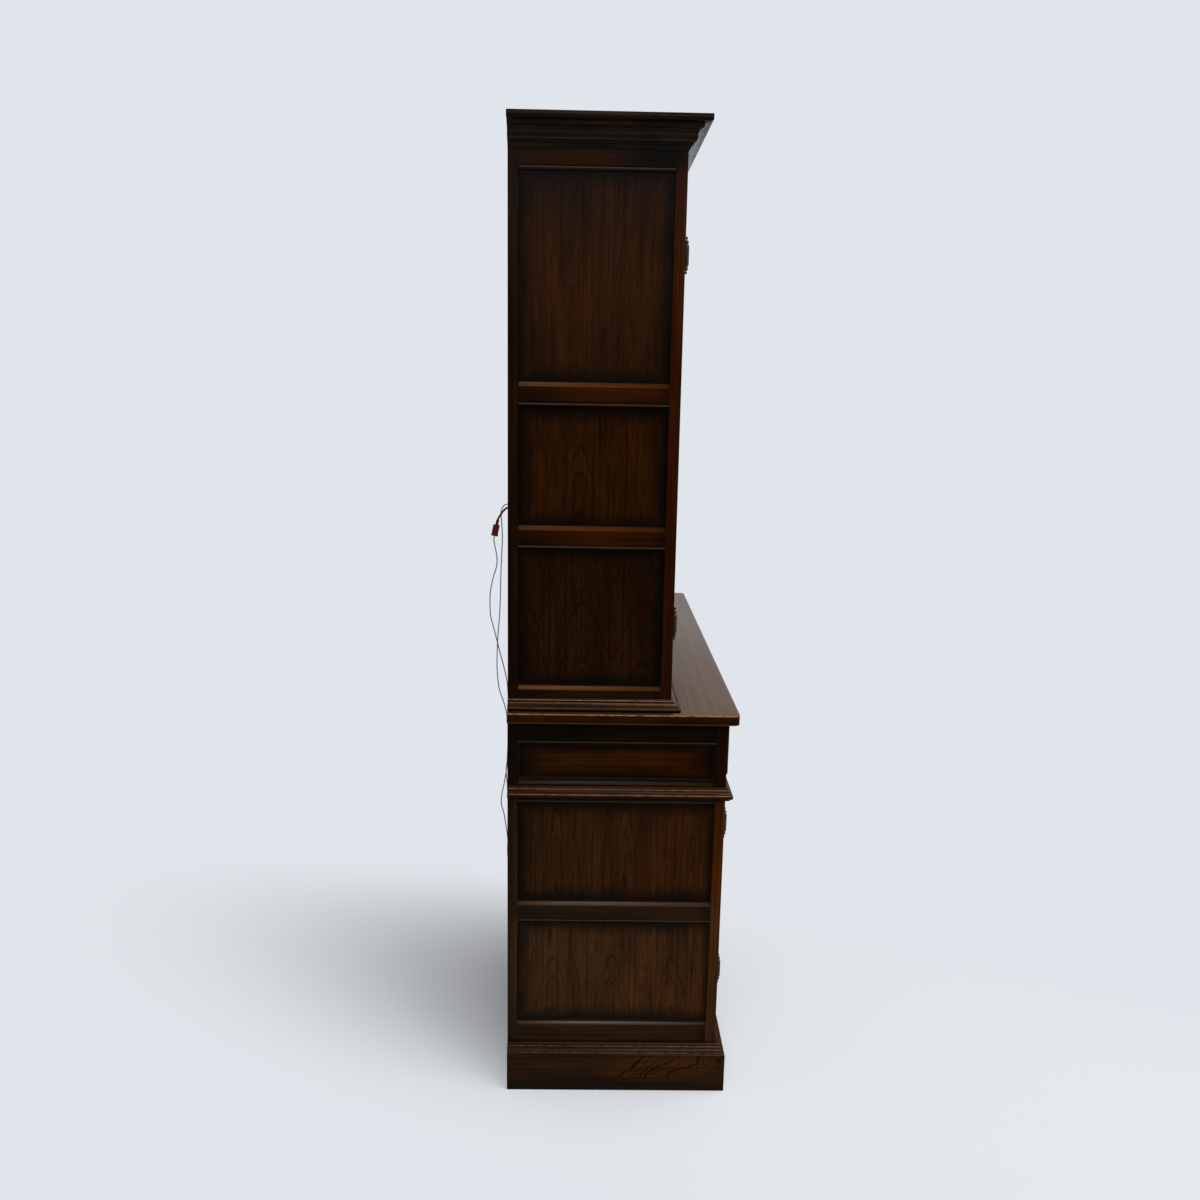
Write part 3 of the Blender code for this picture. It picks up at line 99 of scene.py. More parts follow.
# Shader sums are written as sums of wires. A wire is one socket of a material's nodes.
class Wire:
    def __init__(self, tree, socket):
        self.tree = tree
        self.socket = socket

    # Any node: its type, its settings, the values or wires of its sockets, and the socket wanted
    def node(self, kind, settings=(), inputs=(), output=0):
        made = self.tree.nodes.new(kind)
        for name, value in dict(settings).items():
            setattr(made, name, value)
        for name, value in dict(inputs).items():
            plug(value, made, name)
        return Wire(self.tree, made.outputs[output])

    def maths(self, operation, *values):
        return self.node("ShaderNodeMath", {"operation": operation}, dict(enumerate(values)))

    __add__, __radd__ = bothWays("ADD")
    __sub__, __rsub__ = bothWays("SUBTRACT")
    __mul__, __rmul__ = bothWays("MULTIPLY")
    __truediv__, __rtruediv__ = bothWays("DIVIDE")
    least = bothWays("MINIMUM")[0]
    most = bothWays("MAXIMUM")[0]
    over = bothWays("GREATER_THAN")[0]        # 1 above the limit and 0 below

    def __pow__(self, other):
        return self * self if other == 2 else self.maths("POWER", self, other)

    def __abs__(self):
        return self.maths("ABSOLUTE", self)

    def fract(self):
        return self.maths("FRACT", self)

    # 0 below the first value and 1 above the second, with a soft change between them
    def step(self, low, high):
        inputs = {"Value": self, "From Min": low, "From Max": high}
        return self.node("ShaderNodeMapRange", {"interpolation_type": "SMOOTHSTEP"}, inputs)

    # The other way round: 1 below the first value and 0 above the second
    def fade(self, low, high):
        return 1 - self.step(low, high)

    # The value of the zone that this wire lies in, or one value for all the zones. A limit may
    # be a pair, with a soft change in it.
    def zoned(self, limits, values):
        if not isinstance(values, tuple):
            return values
        result = values[0]
        for limit, before, after in zip(limits, values, values[1:]):
            passed = self.step(*limit) if isinstance(limit, tuple) else self.over(limit)
            result = passed * (after - before) + result
        return result

    # A colour times the tint of the zone that this wire lies in
    def tinted(self, colour, limits, tints):
        tint = self.joined(*(self.zoned(limits, part) for part in zip(*tints)))
        return self.node("ShaderNodeVectorMath", {"operation": "MULTIPLY"}, {0: colour, 1: tint})

    # The first value where this wire is 0 and the second where it is 1
    def either(self, first, second):
        return self * (second - first) + first

    # A colour that goes from the first to the second as this wire goes from 0 to 1
    def mixed(self, first, second, blend="MIX"):
        settings = {"data_type": "RGBA", "blend_type": blend, "clamp_factor": True}
        inputs = {0: self, 6: first, 7: second}
        for side in (6, 7):
            if not isinstance(inputs[side], Wire):
                inputs[side] = (*inputs[side], 1)
        return self.node("ShaderNodeMix", settings, inputs, 2)

    def noise(self, scale, detail=2.0, roughness=0.5, distortion=0.0):
        inputs = {"Vector": self, "Scale": scale, "Detail": detail, "Roughness": roughness,
                  "Distortion": distortion}
        return self.node("ShaderNodeTexNoise", {}, inputs)

    # Noise that is drawn out along some axes: the larger the number, the finer it is
    def stretched(self, stretch, detail=2.0, roughness=0.5, distortion=0.0):
        scaled = self.node("ShaderNodeVectorMath", {"operation": "MULTIPLY"}, {0: self, 1: stretch})
        return scaled.noise(1, detail, roughness, distortion)

    def parts(self):
        split = self.tree.nodes.new("ShaderNodeSeparateXYZ")
        self.tree.links.new(self.socket, split.inputs[0])
        return [Wire(self.tree, socket) for socket in split.outputs]

    def joined(self, x, y, z):
        return self.node("ShaderNodeCombineXYZ", {}, {"X": x, "Y": y, "Z": z})

    # Which way the surface looks
    def facing(self):
        return self.node("ShaderNodeNewGeometry", output=1).parts()


# A function that dresses a shader becomes one that makes a new material and dresses it. Place
# is the wire of its Object coordinates.
def dressing(dress):
    def newMaterial(name, *settings, **more):
        material = bpy.data.materials.new(name)
        material.use_nodes = True
        tree = material.node_tree
        place = Wire(tree, tree.nodes.new("ShaderNodeTexCoord").outputs["Object"])
        dress(tree.nodes["Principled BSDF"], place, *settings, **more)
        return material
    return newMaterial


def bumped(shader, height, strength, distance):
    inputs = {"Strength": strength, "Distance": distance, "Height": height}
    plug(height.node("ShaderNodeBump", {}, inputs), shader, "Normal")


# 1 on a thin line and 0 beside it, from its distance
def lineAt(distance, inner, outer):
    return abs(distance).fade(inner, outer)


# The fine dark line where two pieces meet
def jointLine(distance):
    return lineAt(distance, 0.0001, 0.0006)


def nearest(distances):
    return functools.reduce(Wire.least, distances)


# Cords

cords = {
    "thin": 0.0022,
    "red": 0.0042,
    "halfWidth": 0.634,      # the base's left side face lies at -halfWidth
    "back": 0.247,           # the plane of the cabinet's back
    "step": 0.006,
    "colour": (0.115, 0.118, 0.122),
    "redColour": (0.09, 0.006, 0.003),
}

# In from the base's left side, behind the back, and height, in tenths of a millimetre
redRoute = [
    (530, 2, 13015), (530, 45, 13013), (530, 110, 12960), (530, 170, 12880), (530, 218, 12800),
    (530, 236, 12750)
]
leadARoute = [
    (530, 306, 12423), (530, 318, 12365), (535, 300, 12233), (540, 256, 11990), (540, 262, 11790),
    (540, 330, 11560), (540, 388, 11277), (540, 403, 11062), (545, 392, 10739), (560, 330, 10470),
    (580, 265, 10198), (610, 190, 9871), (660, 102, 9498), (720, 52, 9180), (780, 36, 8700),
    (800, 38, 8100), (790, 62, 7450), (790, 86, 7180), (800, 64, 6890), (850, 44, 6400),
    (980, 42, 5800), (1200, 50, 5260), (1500, 70, 4900), (1780, 105, 4790), (1950, 138, 4880),
    (2000, 120, 4985), (2000, 40, 5015), (2000, -80, 5015)
]
leadBRoute = [
    (590, 2, 13085), (590, 60, 13083), (600, 128, 13040), (620, 172, 12900), (625, 158, 12654),
    (620, 148, 12340), (610, 170, 11812), (610, 182, 11493), (620, 193, 11065), (625, 215, 10633),
    (640, 245, 10307), (655, 262, 9980), (670, 268, 9539), (680, 224, 9096), (700, 110, 8718),
    (720, 46, 8350), (710, 40, 7900), (700, 54, 7404), (690, 118, 6942), (680, 166, 6710),
    (680, 184, 6454), (690, 122, 6200), (710, 48, 5657), (780, 38, 5200), (1000, 44, 4720),
    (1350, 66, 4480), (1720, 100, 4500), (1960, 140, 4720), (2000, 130, 4880), (2000, 45, 4945),
    (2000, -80, 4945)
]


def worldRoute(route):
    left, back = -cords["halfWidth"], cords["back"]
    return [Vector((left + inward / 10000, back + behind / 10000, height / 10000))
            for inward, behind, height in route]


# A smooth line through the chosen points, read off at even steps
def smoothRoute(points, spacing, pieces=12):
    ends = [2 * points[0] - points[1]] + points + [2 * points[-1] - points[-2]]
    fine = []
    for index in range(1, len(ends) - 2):
        before, start, stop, after = ends[index - 1:index + 3]
        for step in range(pieces):
            t = step / pieces
            fine.append(0.5 * (2 * start + (stop - before) * t
                               + (2 * before - 5 * start + 4 * stop - after) * t ** 2
                               + (3 * start - before - 3 * stop + after) * t ** 3))
    fine.append(points[-1])
    length = sum((b - a).length for a, b in zip(fine, fine[1:]))
    count = round(length / spacing)
    even = [fine[0]]
    travelled = 0
    for a, b in zip(fine, fine[1:]):
        run = (b - a).length
        while len(even) < count and travelled + run >= length * len(even) / count:
            even.append(a.lerp(b, (length * len(even) / count - travelled) / run))
        travelled += run
    even.append(fine[-1])
    return even, length


@dressing
def plasticMaterial(shader, place, colour, roughness, mottle=0.12, grain=900, specular=0.25):
    cloud = place.noise(90, 3, 0.6)
    dark = tuple(part * (1 - 3 * mottle) for part in colour)
    plug(cloud.step(0.35, 0.75).mixed(colour, dark), shader, "Base Color")
    plug(cloud * 0.16 + (roughness - 0.08), shader, "Roughness")
    bumped(shader, place.noise(grain), 0.12, 0.0004)
    plug(specular, shader, "Specular IOR Level")


def addCord(name, route, diameter, material):
    spacing = cords["step"] if diameter < cords["red"] else diameter / 2
    points, length = smoothRoute(worldRoute(route), spacing)
    curve = bpy.data.curves.new(name, "CURVE")
    curve.dimensions = "3D"
    curve.bevel_depth = diameter / 2
    curve.bevel_resolution = 4
    curve.use_fill_caps = True
    spline = curve.splines.new("POLY")
    spline.points.add(len(points) - 1)
    for point, position in zip(spline.points, points):
        point.co = (*position, 1)
    spline.use_smooth = True
    cord = bpy.data.objects.new(name, curve)
    bpy.context.scene.collection.objects.link(cord)
    curve.materials.append(material)
    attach(cord, "carcass")
    return cord, points[0], length


greyLead = plasticMaterial("greyLead", cords["colour"], roughness=0.42)
redLead = plasticMaterial("redLead", cords["redColour"], roughness=0.4, specular=0.08)
leadA, leadAStart, leadALength = addCord("leadA", leadARoute, cords["thin"], greyLead)
leadB, leadBStart, leadBLength = addCord("leadB", leadBRoute, cords["thin"], greyLead)
redCord, redStart, redLength = addCord("redCord", redRoute, cords["red"], redLead)
for cord, node in ((leadA, "lead_a"), (leadB, "lead_b")):
    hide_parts(node)
print("leads laid", round(leadALength, 3), round(leadBLength, 3), round(redLength, 4))


# Modelling by hand: small helpers around the operators

def nothingSelected():
    if bpy.context.object and bpy.context.object.mode != "OBJECT":
        bpy.ops.object.mode_set(mode="OBJECT")
    bpy.ops.object.select_all(action="DESELECT")


def onlySelected(piece):
    nothingSelected()
    piece.hide_set(False)
    piece.select_set(True)
    bpy.context.view_layer.objects.active = piece


# Edit mode with the whole mesh selected, and back
def openMesh(piece):
    onlySelected(piece)
    bpy.ops.object.mode_set(mode="EDIT")
    bpy.ops.mesh.select_all(action="SELECT")


def closeMesh():
    bpy.ops.object.mode_set(mode="OBJECT")


def bevelled(piece, width, segments, angle):
    soften = piece.modifiers.new("arris", "BEVEL")
    soften.width = width
    soften.segments = segments
    soften.limit_method = "ANGLE"
    soften.angle_limit = math.radians(angle)
    bpy.ops.object.modifier_apply(modifier="arris")


# The place, turn and size of a piece go into its mesh.
def settled(piece, name, smoothAngle=None):
    onlySelected(piece)
    bpy.ops.object.transform_apply(location=True, rotation=True, scale=True)
    if smoothAngle is not None:
        bpy.ops.object.shade_smooth_by_angle(angle=math.radians(smoothAngle), keep_sharp_edges=False)
    piece.name = name
    piece.data.name = name
    return piece


def given(piece, body, material, slot, *nodes):
    piece.data.materials.clear()
    piece.data.materials.append(material)
    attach(piece, body)
    if nodes:
        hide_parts(*nodes)
    return piece


# A copy of a CAD solid with its arrises softened. Its triangles are merged, unless its faces
# are too intricate for that.
def softenedCopy(node, name, width=0, angle=28, smoothAngle=38, plain=True):
    piece = bpy.data.objects.new(name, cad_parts[node].data.copy())
    bpy.context.scene.collection.objects.link(piece)
    openMesh(piece)
    bpy.ops.mesh.remove_doubles(threshold=0.00001)
    if plain:
        bpy.ops.mesh.dissolve_limited(angle_limit=math.radians(0.2))
    closeMesh()
    if width:
        bevelled(piece, width, segments=2, angle=angle)
    return settled(piece, name, smoothAngle)


def finished(material, *nodes):
    for node in nodes:
        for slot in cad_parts[node].material_slots:
            slot.material = material


# Oak

# Three colours in ten-thousandths
def threeTones(dark, body, light):
    colours = {"dark": dark, "body": body, "light": light}
    return {key: tuple(part / 10000 for part in colour) for key, colour in colours.items()}


oak = {
    "specular": 0.01,
    "coatRoughness": 0.16,
    "relief": 0.00015,                     # how deep its rings and pores lie
    "toned": (0.0022, 0.0015, 0.0008),     # the near-black toner along the edges, also laid on as painted shade
    "worn": (0.1, 0.032, 0.004),           # painted light on faces that look up, and on an arris
    "highlit": (0.044, 0.034, 0.025),       # a greyish painted highlight on a bead's ridge
    "crestHighlight": (0.18, 0.1, 0.06),            # painted highlight on a moulding's ridge, broken along its length
    "upperFrame": threeTones((36, 10, 2), (132, 30, 2), (240, 60, 4)),
    "baseFrame": threeTones((36, 16, 6), (130, 51, 11), (232, 94, 18)),
    "panel": threeTones((24, 9, 3), (160, 45, 4), (290, 82, 9)),
    "base": threeTones((26, 12, 6), (230, 84, 22), (410, 142, 32)),
    "plinth": threeTones((22, 11, 6), (150, 60, 18), (260, 98, 26)),
    "moulding": threeTones((26, 10, 4), (125, 38, 8), (270, 84, 16)),
    "cornice": threeTones((10, 9, 8), (70, 42, 20), (330, 138, 36)),
    "counter": threeTones((36, 10, 2), (140, 33, 3), (260, 66, 6)),
    "inside": threeTones((450, 240, 120), (950, 540, 270), (1300, 780, 400)),
    "pale": threeTones((1500, 900, 480), (2500, 1600, 900), (3300, 2200, 1300)),
}


# Rings seen on a sawn board: arches that point up along the grain where the heart of the log
# lies behind the face, and straight lines beside them. All lengths are metres.
def archedReach(along, across, start, middle, period, heart, slope):
    sideways = ((((across - middle) / period + 0.5).fract() - 0.5) * period) ** 2
    return (sideways + heart * heart) ** 0.5 + (along - start) * slope


# One board's figure: a dark line for each ring, its pores, and slow changes of tone
def oakFigure(place, along, across, seed, reach=None, ring=0.0032, sway=0.01, feather=0.0006,
              waver=0.0):
    board = place.joined(along, across, seed)
    count = board.stretched((1.7, 7, 1)) * (2 * sway)
    count = count + board.stretched((24, 300, 1), 2, 0.6) * (2 * feather)
    if waver:
        count = count + board.stretched((9, 34, 1)) * (2 * waver)
    count = (count + (across if reach is None else reach)) / ring
    uneven = place.joined(count * 0.37, seed, 0.5).noise(1, 1, 0.5)
    count = count + uneven * 2.2
    part = count.fract()
    whole = place.maths("FLOOR", count)
    strength = place.joined(whole * 0.73, 0.5, seed).noise(1, 1, 0.5).step(0.25, 0.7)
    line = (1 - part) ** 1.4 * part.step(0, 0.16) * (strength * 0.75 + 0.25)
    cloud = board.stretched((4, 20, 1), 3, 0.6)
    streak = board.stretched((3.5, 150, 1), 2, 0.55)
    pores = board.stretched((60, 1300, 1), 1, 0.5).step(0.54, 0.68)
    return {"line": line, "cloud": cloud, "streak": streak, "pores": pores}


def oakColour(figure, tones, lines=0.8, clouds=0.22):
    cloud = figure["cloud"].step(0.5 - clouds, 0.5 + clouds)
    ground = cloud.mixed(tones["body"], tones["light"])
    ground = (figure["streak"].step(0.4, 0.72) * 0.6).mixed(ground, tones["dark"])
    dark = (figure["line"] * lines).most(figure["pores"] * 0.4)
    return dark.mixed(ground, tones["dark"])


# A colour with the near-black colour over a share of it: toner along edges, and painted shade in
# hollows and beneath overhangs
def toned(colour, share):
    return share.mixed(colour, oak["toned"])


# Faces that look up get a lighter colour, painted light from above, and keep more of their
# polish. The sheen is the lacquer's grey veil where it is left thick.
def finishOak(shader, place, colour, figure, roughness=0.34, worn=0.7, polish=0.0, sheen=0.0):
    up = place.facing()[2]
    if isinstance(worn, Wire) or worn:
        worn = up.step(0.2, 0.7) * worn * (1 - figure["line"] * 0.5)
        colour = worn.mixed(colour, oak["worn"])
    if isinstance(polish, Wire) or polish:
        sheen = up.step(0.45, 0.75) * polish + sheen
    plug(sheen, shader, "Coat Weight")
    plug(oak["coatRoughness"], shader, "Coat Roughness")
    plug(colour, shader, "Base Color")
    plug(figure["line"] * 0.1 + figure["cloud"] * 0.1 + (roughness - 0.05), shader, "Roughness")
    bumped(shader, 1 - figure["line"] * 0.7 - figure["pores"] * 0.5, 0.5, oak["relief"])
    plug(oak["specular"], shader, "Specular IOR Level")


# How far a place lies inside a rectangle's four borders
def insideOf(across, low, high, up, foot, head):
    return (across - low).least(high - across).least((up - foot).least(head - up))


# 1 in the bands of a moulding and 0 between them, with soft borders. A band is its two ends,
# as shares of the moulding's height, and its strength.
def banded(height, bands, soft=0.05):
    masks = []
    for low, high, strength in bands:
        above = height.step(low - soft, low + soft)
        below = height.fade(high - soft, high + soft)
        masks.append(above * below * strength)
    return functools.reduce(Wire.most, masks)


panels = {
    "upper": {
        "borders": (-0.074, 0.2255), "limits": (1.2465, 1.5332),
        "low": (0.935, 1.2717, 1.5587), "high": (1.223, 1.51, 1.9541),
        "middle": (0.0905, 0.0997, 0.112), "period": (0.122, 0.42, 0.096),
        "heart": (0.024, 0.016, 0.022), "slope": (0.34, 0.18, 0.11), "lines": (0.8, 0.92, 0.55),
        "ring": (0.0092, 0.0056, 0.0048),
        "wood": "panel",
        "tintLimits": (1.2465, 1.5332, (1.6, 1.76), (1.79, 1.93)),
        "tints": ((0.74, 0.82, 1.0), (1.0, 1.0, 1.0), (1.06, 1.1, 1.8), (1.32, 1.32, 1.6),
                  (0.86, 0.98, 1.5)),
        "sheen": (0.0, 0.0, 0.03, 0.07, 0.12),
        "ends": ((0.96, 0.96, 0.93), (1.0, 1.03, 1.02)),   # the tints at its front and its back
    },
    "base": {
        "borders": (-0.212, 0.2255), "limits": (0.4222,),
        "low": (0.1599, 0.4488), "high": (0.3981, 0.6753),
        "middle": (0.015, -0.006), "period": (0.131, 0.147),
        "heart": (0.012, 0.009), "slope": (0.21, 0.1), "lines": (0.9, 0.85),
        "ring": (0.0056, 0.0044),
        "wood": "base",
        "tintLimits": (0.4222,),
        "tints": ((1.3, 1.34, 1.3), (1.0, 0.92, 0.8)),
        "sheen": (0.05, 0.02),
        "ends": ((1.08, 0.99, 0.78), (0.89, 1.0, 1.14)),
    },
}


@dressing
def panelMaterial(shader, place, look):
    x, y, z = place.parts()
    zone = {key: z.zoned(look["limits"], look[key])
            for key in ("low", "high", "middle", "period", "heart", "slope", "lines", "ring")}
    reach = archedReach(z, y, *(zone[key] for key in ("low", "middle", "period", "heart", "slope")))
    figure = oakFigure(place, z, y + x * 0.3, x.over(0) * 3, reach, ring=zone["ring"], waver=0.0026)
    colour = oakColour(figure, oak[look["wood"]], zone["lines"])
    # Short dark ripples across the grain
    ripple = place.stretched((1, 60, 17), 3, 0.6).step(0.52, 0.74) * place.stretched((1, 9, 5))
    colour = (ripple * 0.9).mixed(colour, oak[look["wood"]]["dark"])
    colour = z.tinted(colour, look["tintLimits"], look["tints"])
    colour = y.tinted(colour, (look["borders"],), look["ends"])
    inner = insideOf(y, *look["borders"], z, zone["low"], zone["high"])
    uneven = place.stretched((11, 11, 11)) * 0.03
    edge = (inner + uneven - 0.016).fade(-0.004, 0.04)
    colour = toned(colour, edge * 0.9)
    finishOak(shader, place, colour, figure, worn=0, sheen=z.zoned(look["tintLimits"], look["sheen"]))


sides = {
    "upper": {
        "front": -0.074, "back": 0.2255, "lows": (1.231, 1.518, 1.9621), "wood": "upperFrame",
        "limits": ((0.95, 1.2), (1.3, 1.5), (1.6, 1.94)), "heads": (0.935, 1.2717, 1.5587),
        "rails": ((0.95, 1.1, 3.0), (1.22, 1.14, 0.6), (1.25, 1.22, 0.8), (1.08, 1.42, 3.4)),
        "outside": 0.621, "backLimits": ((0.95, 1.2), (1.3, 1.5), (1.6, 1.94)),
        "backPost": ((0.5, 0.75, 1.5), (0.52, 0.8, 1.7), (0.58, 0.8, 1.7), (0.62, 0.9, 2.4)),
        "frontPost": ((1.05, 0.88, 0.6), (1.14, 0.88, 0.5), (1.45, 1.15, 0.7), (1.65, 1.5, 1.6)),
        "sheen": (0.01, 0.0, 0.01, 0.09),
        "worn": (0.8, 0.42, 0.62, 0.5), "polish": (0.11, 0.02, 0.02, 0.02),
        "behind": 0.17, "toned": (0.7, 0.75, 0.75, 0.15), "ahead": (0.036, 0.036, 0.036, 0.15),
        # The bead, edge and crown values set the painted highlights on the beads and the back post's
        # arris, and the painted shade beneath the cornice.
        "bead": 0.85, "redder": 0.0, "cuts": (0.0026, 0.0012, 0.0012), "lean": 0.0,
        "edge": 0.1, "crown": 0.85, "dry": 0.0,
    },
    "base": {
        "front": -0.196, "back": 0.2255, "lows": (0.4061, 0.6833, 0.8161), "wood": "baseFrame",
        "limits": ((0.18, 0.38), (0.42, 0.52), 0.7), "heads": (0.1599, 0.4488, 0.729),
        "rails": ((1.0, 1.04, 1.1), (0.76, 0.82, 0.88), (1.0, 1.0, 1.0), (0.36, 0.52, 0.64)),
        "outside": 0.631, "backLimits": ((0.17, 0.3), (0.375, 0.425), 0.7),
        "backPost": ((0.85, 0.92, 1.0), (2.6, 2.4, 2.2), (0.95, 1.05, 1.2), (0.34, 0.46, 0.6)),
        "frontPost": ((2.05, 1.85, 1.9), (2.75, 2.05, 1.4), (3.2, 1.85, 0.1), (0.64, 0.44, 0.1)),
        "sheen": (0.05, 0.06, 0.04, 0.0),
        "worn": (0.28, 0.3, 0.15, 0.16), "polish": (0.78, 0.3, 0.1, 0.13),
        "behind": 0.1, "toned": 0.3, "ahead": 0.036,
        # The bead, edge and crown values set the painted highlights on the beads and the back post's
        # arris, and the painted shade beneath the cornice.
        "bead": 0.55, "redder": 0.6, "cuts": (0.0046, 0.003, 0.004), "lean": (0.1, 0.55, 0.1, 0.1),
        "edge": 0.0, "crown": 0.0, "dry": (0.0, 0.0, 0.8, 0.0),
    },
}


rails = {
    "quirk": 0.0006,            # up from a rail's lower edge to the middle of its quirk, painted dark as shade
    "bead": 0.0028,             # and of its bead, which has a painted highlight
    "crestHighlight": 0.0062,            # down from a panel's foot to the painted highlight on the rail's slope
    "redder": (1.5, 1.18, 1.0),
    # the painted shade beneath the cornice comes in over these heights
    "crown": (1.945, 1.978),
}


# The colours of a side's posts and rails
def sideColour(place, look, plain, rail):
    x, y, z = place.parts()
    front, back = look["front"], look["back"]
    # The back post: toner along its arris, or a painted highlight along the arris
    rear = z.tinted(plain, look["backLimits"], look["backPost"])
    lean = z.zoned(look["backLimits"], look["lean"])
    rear = toned(rear, (y - back).step(0.001, 0.019) * lean)
    rear = ((y - back).step(0.0185, 0.02) * look["edge"]).mixed(rear, oak["worn"])
    # The front post is brighter on its outer side than on its front
    fore = z.tinted(plain, look["limits"], look["frontPost"])
    fore = abs(x).over(look["outside"]).mixed(plain, fore)
    posts = y.over(0).mixed(fore, rear)
    between = z.tinted(plain, look["limits"], look["rails"])
    redder = (back - y).step(0.05, 0.36) * look["redder"]
    between = redder.mixed(between, rails["redder"], "MULTIPLY")
    # Painted shade lies thickly beneath the cornice, at its front end
    crown = z.step(*rails["crown"]) * (y - front).fade(0.02, 0.16) * look["crown"]
    return toned(rail.mixed(posts, between), crown)


# How far a place is from the beads, quirks, shaded chamfer heads and highlighted ridges that run along
# the rails
def railLines(z, look):
    bead = nearest([abs(z - (low - rails["bead"])) for low in look["lows"]])
    quirk = nearest([abs(z - (low - rails["quirk"])) for low in look["lows"]])
    cut = nearest([abs(z - (head - deep / 2)) - deep / 2
                   for head, deep in zip(look["heads"], look["cuts"])])
    crestHighlight = nearest([abs(z - (head - rails["crestHighlight"])) for head in look["heads"]])
    return bead, quirk, cut, crestHighlight


# Upright posts with the rails let in between them, and a fine joint where they meet. Each
# rail has painted shade in its quirk and a painted highlight on the bead along its lower edge.
@dressing
def sideFrameMaterial(shader, place, look):
    x, y, z = place.parts()

    def zone(key):
        return z.zoned(look["limits"], look[key])

    front, back = look["front"], look["back"]
    rail = y.over(front) * (1 - y.over(back))
    along = rail.either(z, y)
    across = rail.either(x + y, z + x)
    figure = oakFigure(place, along, across, x.over(0) * 3 + rail * 7, ring=0.003, sway=0.006)
    colour = sideColour(place, look, oakColour(figure, oak[look["wood"]]), rail)
    joint = abs(y - front).least(abs(y - back)).fade(0.0001, 0.0007)
    behind = (back - y).fade(-0.02, look["behind"]) * rail * zone("toned")
    ahead = (y - front).fade(0, zone("ahead")) * rail * 0.6
    colour = toned(colour, behind.most(ahead).most(joint * 0.6))
    bead, quirk, cut, crestHighlight = railLines(z, look)
    # A painted highlight on each bead
    colour = (bead.fade(0.0008, 0.0019) * rail * look["bead"]).mixed(colour, oak["highlit"])
    # Painted shade in each quirk and at the top of each rail's slope
    dark = quirk.fade(0.0005, 0.0013).most(cut.fade(-0.0003, 0.0008)) * rail
    colour = toned(colour, dark * 0.9)
    # The painted light and the polish are strongest a little ahead of the back post and thin out
    # towards the front. They are raised along the ridge of each rail's slope, and taken off where shade
    # is painted.
    lit = (y - front + 0.03).step(0, 0.3) * ((back - y).step(-0.03, 0.05) * 0.5 + 0.5)
    bare = 1 - dark * 0.95
    lit = lit * (1.15 - crestHighlight.step(0.0012, 0.005) * 0.55) * bare
    dry = zone("dry") * (1 - y.over(front))
    finishOak(shader, place, colour, figure, worn=zone("worn") * (lit * 0.6 + 0.4) * bare,
              polish=zone("polish") * lit, sheen=zone("sheen") * bare * (1 - dry))


# Grain up the stiles and across the rails, and toner where the shade says
def finishFraming(shader, place, stile, seed, wood, shade):
    x, y, z = place.parts()
    along = stile.either(x, z)
    across = stile.either(z + y, x + y)
    figure = oakFigure(place, along, across, seed, ring=0.003, sway=0.006)
    colour = oakColour(figure, oak[wood])
    finishOak(shader, place, toned(colour, shade), figure, sheen=0.05)


@dressing
def frontFrameMaterial(shader, place, wood, halfStile=0.02):
    x = place.parts()[0]
    stile = 1 - abs(x).over(halfStile)
    joint = jointLine(abs(x) - halfStile) * 0.5
    finishFraming(shader, place, stile, stile * 4, wood, joint)


# Above 0 ahead of the mitre at a moulding's front corners, and below 0 along its sides
def pastMitre(place, node):
    x, y, _ = place.parts()
    (_, front, _), (side, _, _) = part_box(node)
    return (front - y) - (abs(x) - side)


plainMoulding = {
    "wood": "moulding", "sheen": (0.03, 0.3), "lines": 0.9, "ring": 0.0032, "clouds": 0.16,
    "rear": (0.0, 0.0), "coat": 1.5,
}

# A moulding's runs along the sides and the front, mitred at the corners. Painted shade lies in its
# hollows, and its ridges carry a painted highlight and more polish.
mouldings = {
    "cornice": {
        "node": "cornice", "low": 1.9905, "tall": 0.0595,
        "dark": ((-0.1, 0.06, 0.85), (0.18, 0.24, 0.8), (0.33, 0.4, 0.7), (0.78, 0.88, 0.75)),
        "crests": ((0.26, 0.3, 0.1), (0.44, 0.48, 0.08), (0.9, 0.95, 0.1)),
        "worn": 0.2, "polish": 0.03, "sheen": (0.15, 1.0),
        "wood": "cornice", "lines": 1.0, "ring": 0.004, "clouds": 0.09,
        "rear": (0.55, 0.5),   # darker towards the back, and at the front end
        "coat": 1.35,          # the refractive index of its thin lacquer
    },
    "footMoulding": {
        **plainMoulding,
        "node": "foot_moulding", "low": 0.8825, "tall": 0.0256,
        "dark": ((-0.1, 0.18, 0.9), (0.36, 0.56, 0.6), (0.72, 0.77, 0.6), (0.95, 1.2, 0.8)),
        "crests": ((0.28, 0.32, 0.62), (0.62, 0.66, 0.7), (0.83, 0.88, 1.0)),
        "worn": 0.22, "polish": 0.14,
    },
    "waistMoulding": {
        **plainMoulding,
        "node": "waist_moulding", "low": 0.6906, "tall": 0.0279,
        "dark": ((-0.1, 0.08, 0.9), (0.47, 0.55, 0.65), (0.92, 1.2, 0.9)),
        "crests": ((0.35, 0.4, 1.0), (0.7, 0.75, 0.95)),
        "worn": 0.13, "polish": 0.11,
    },
}


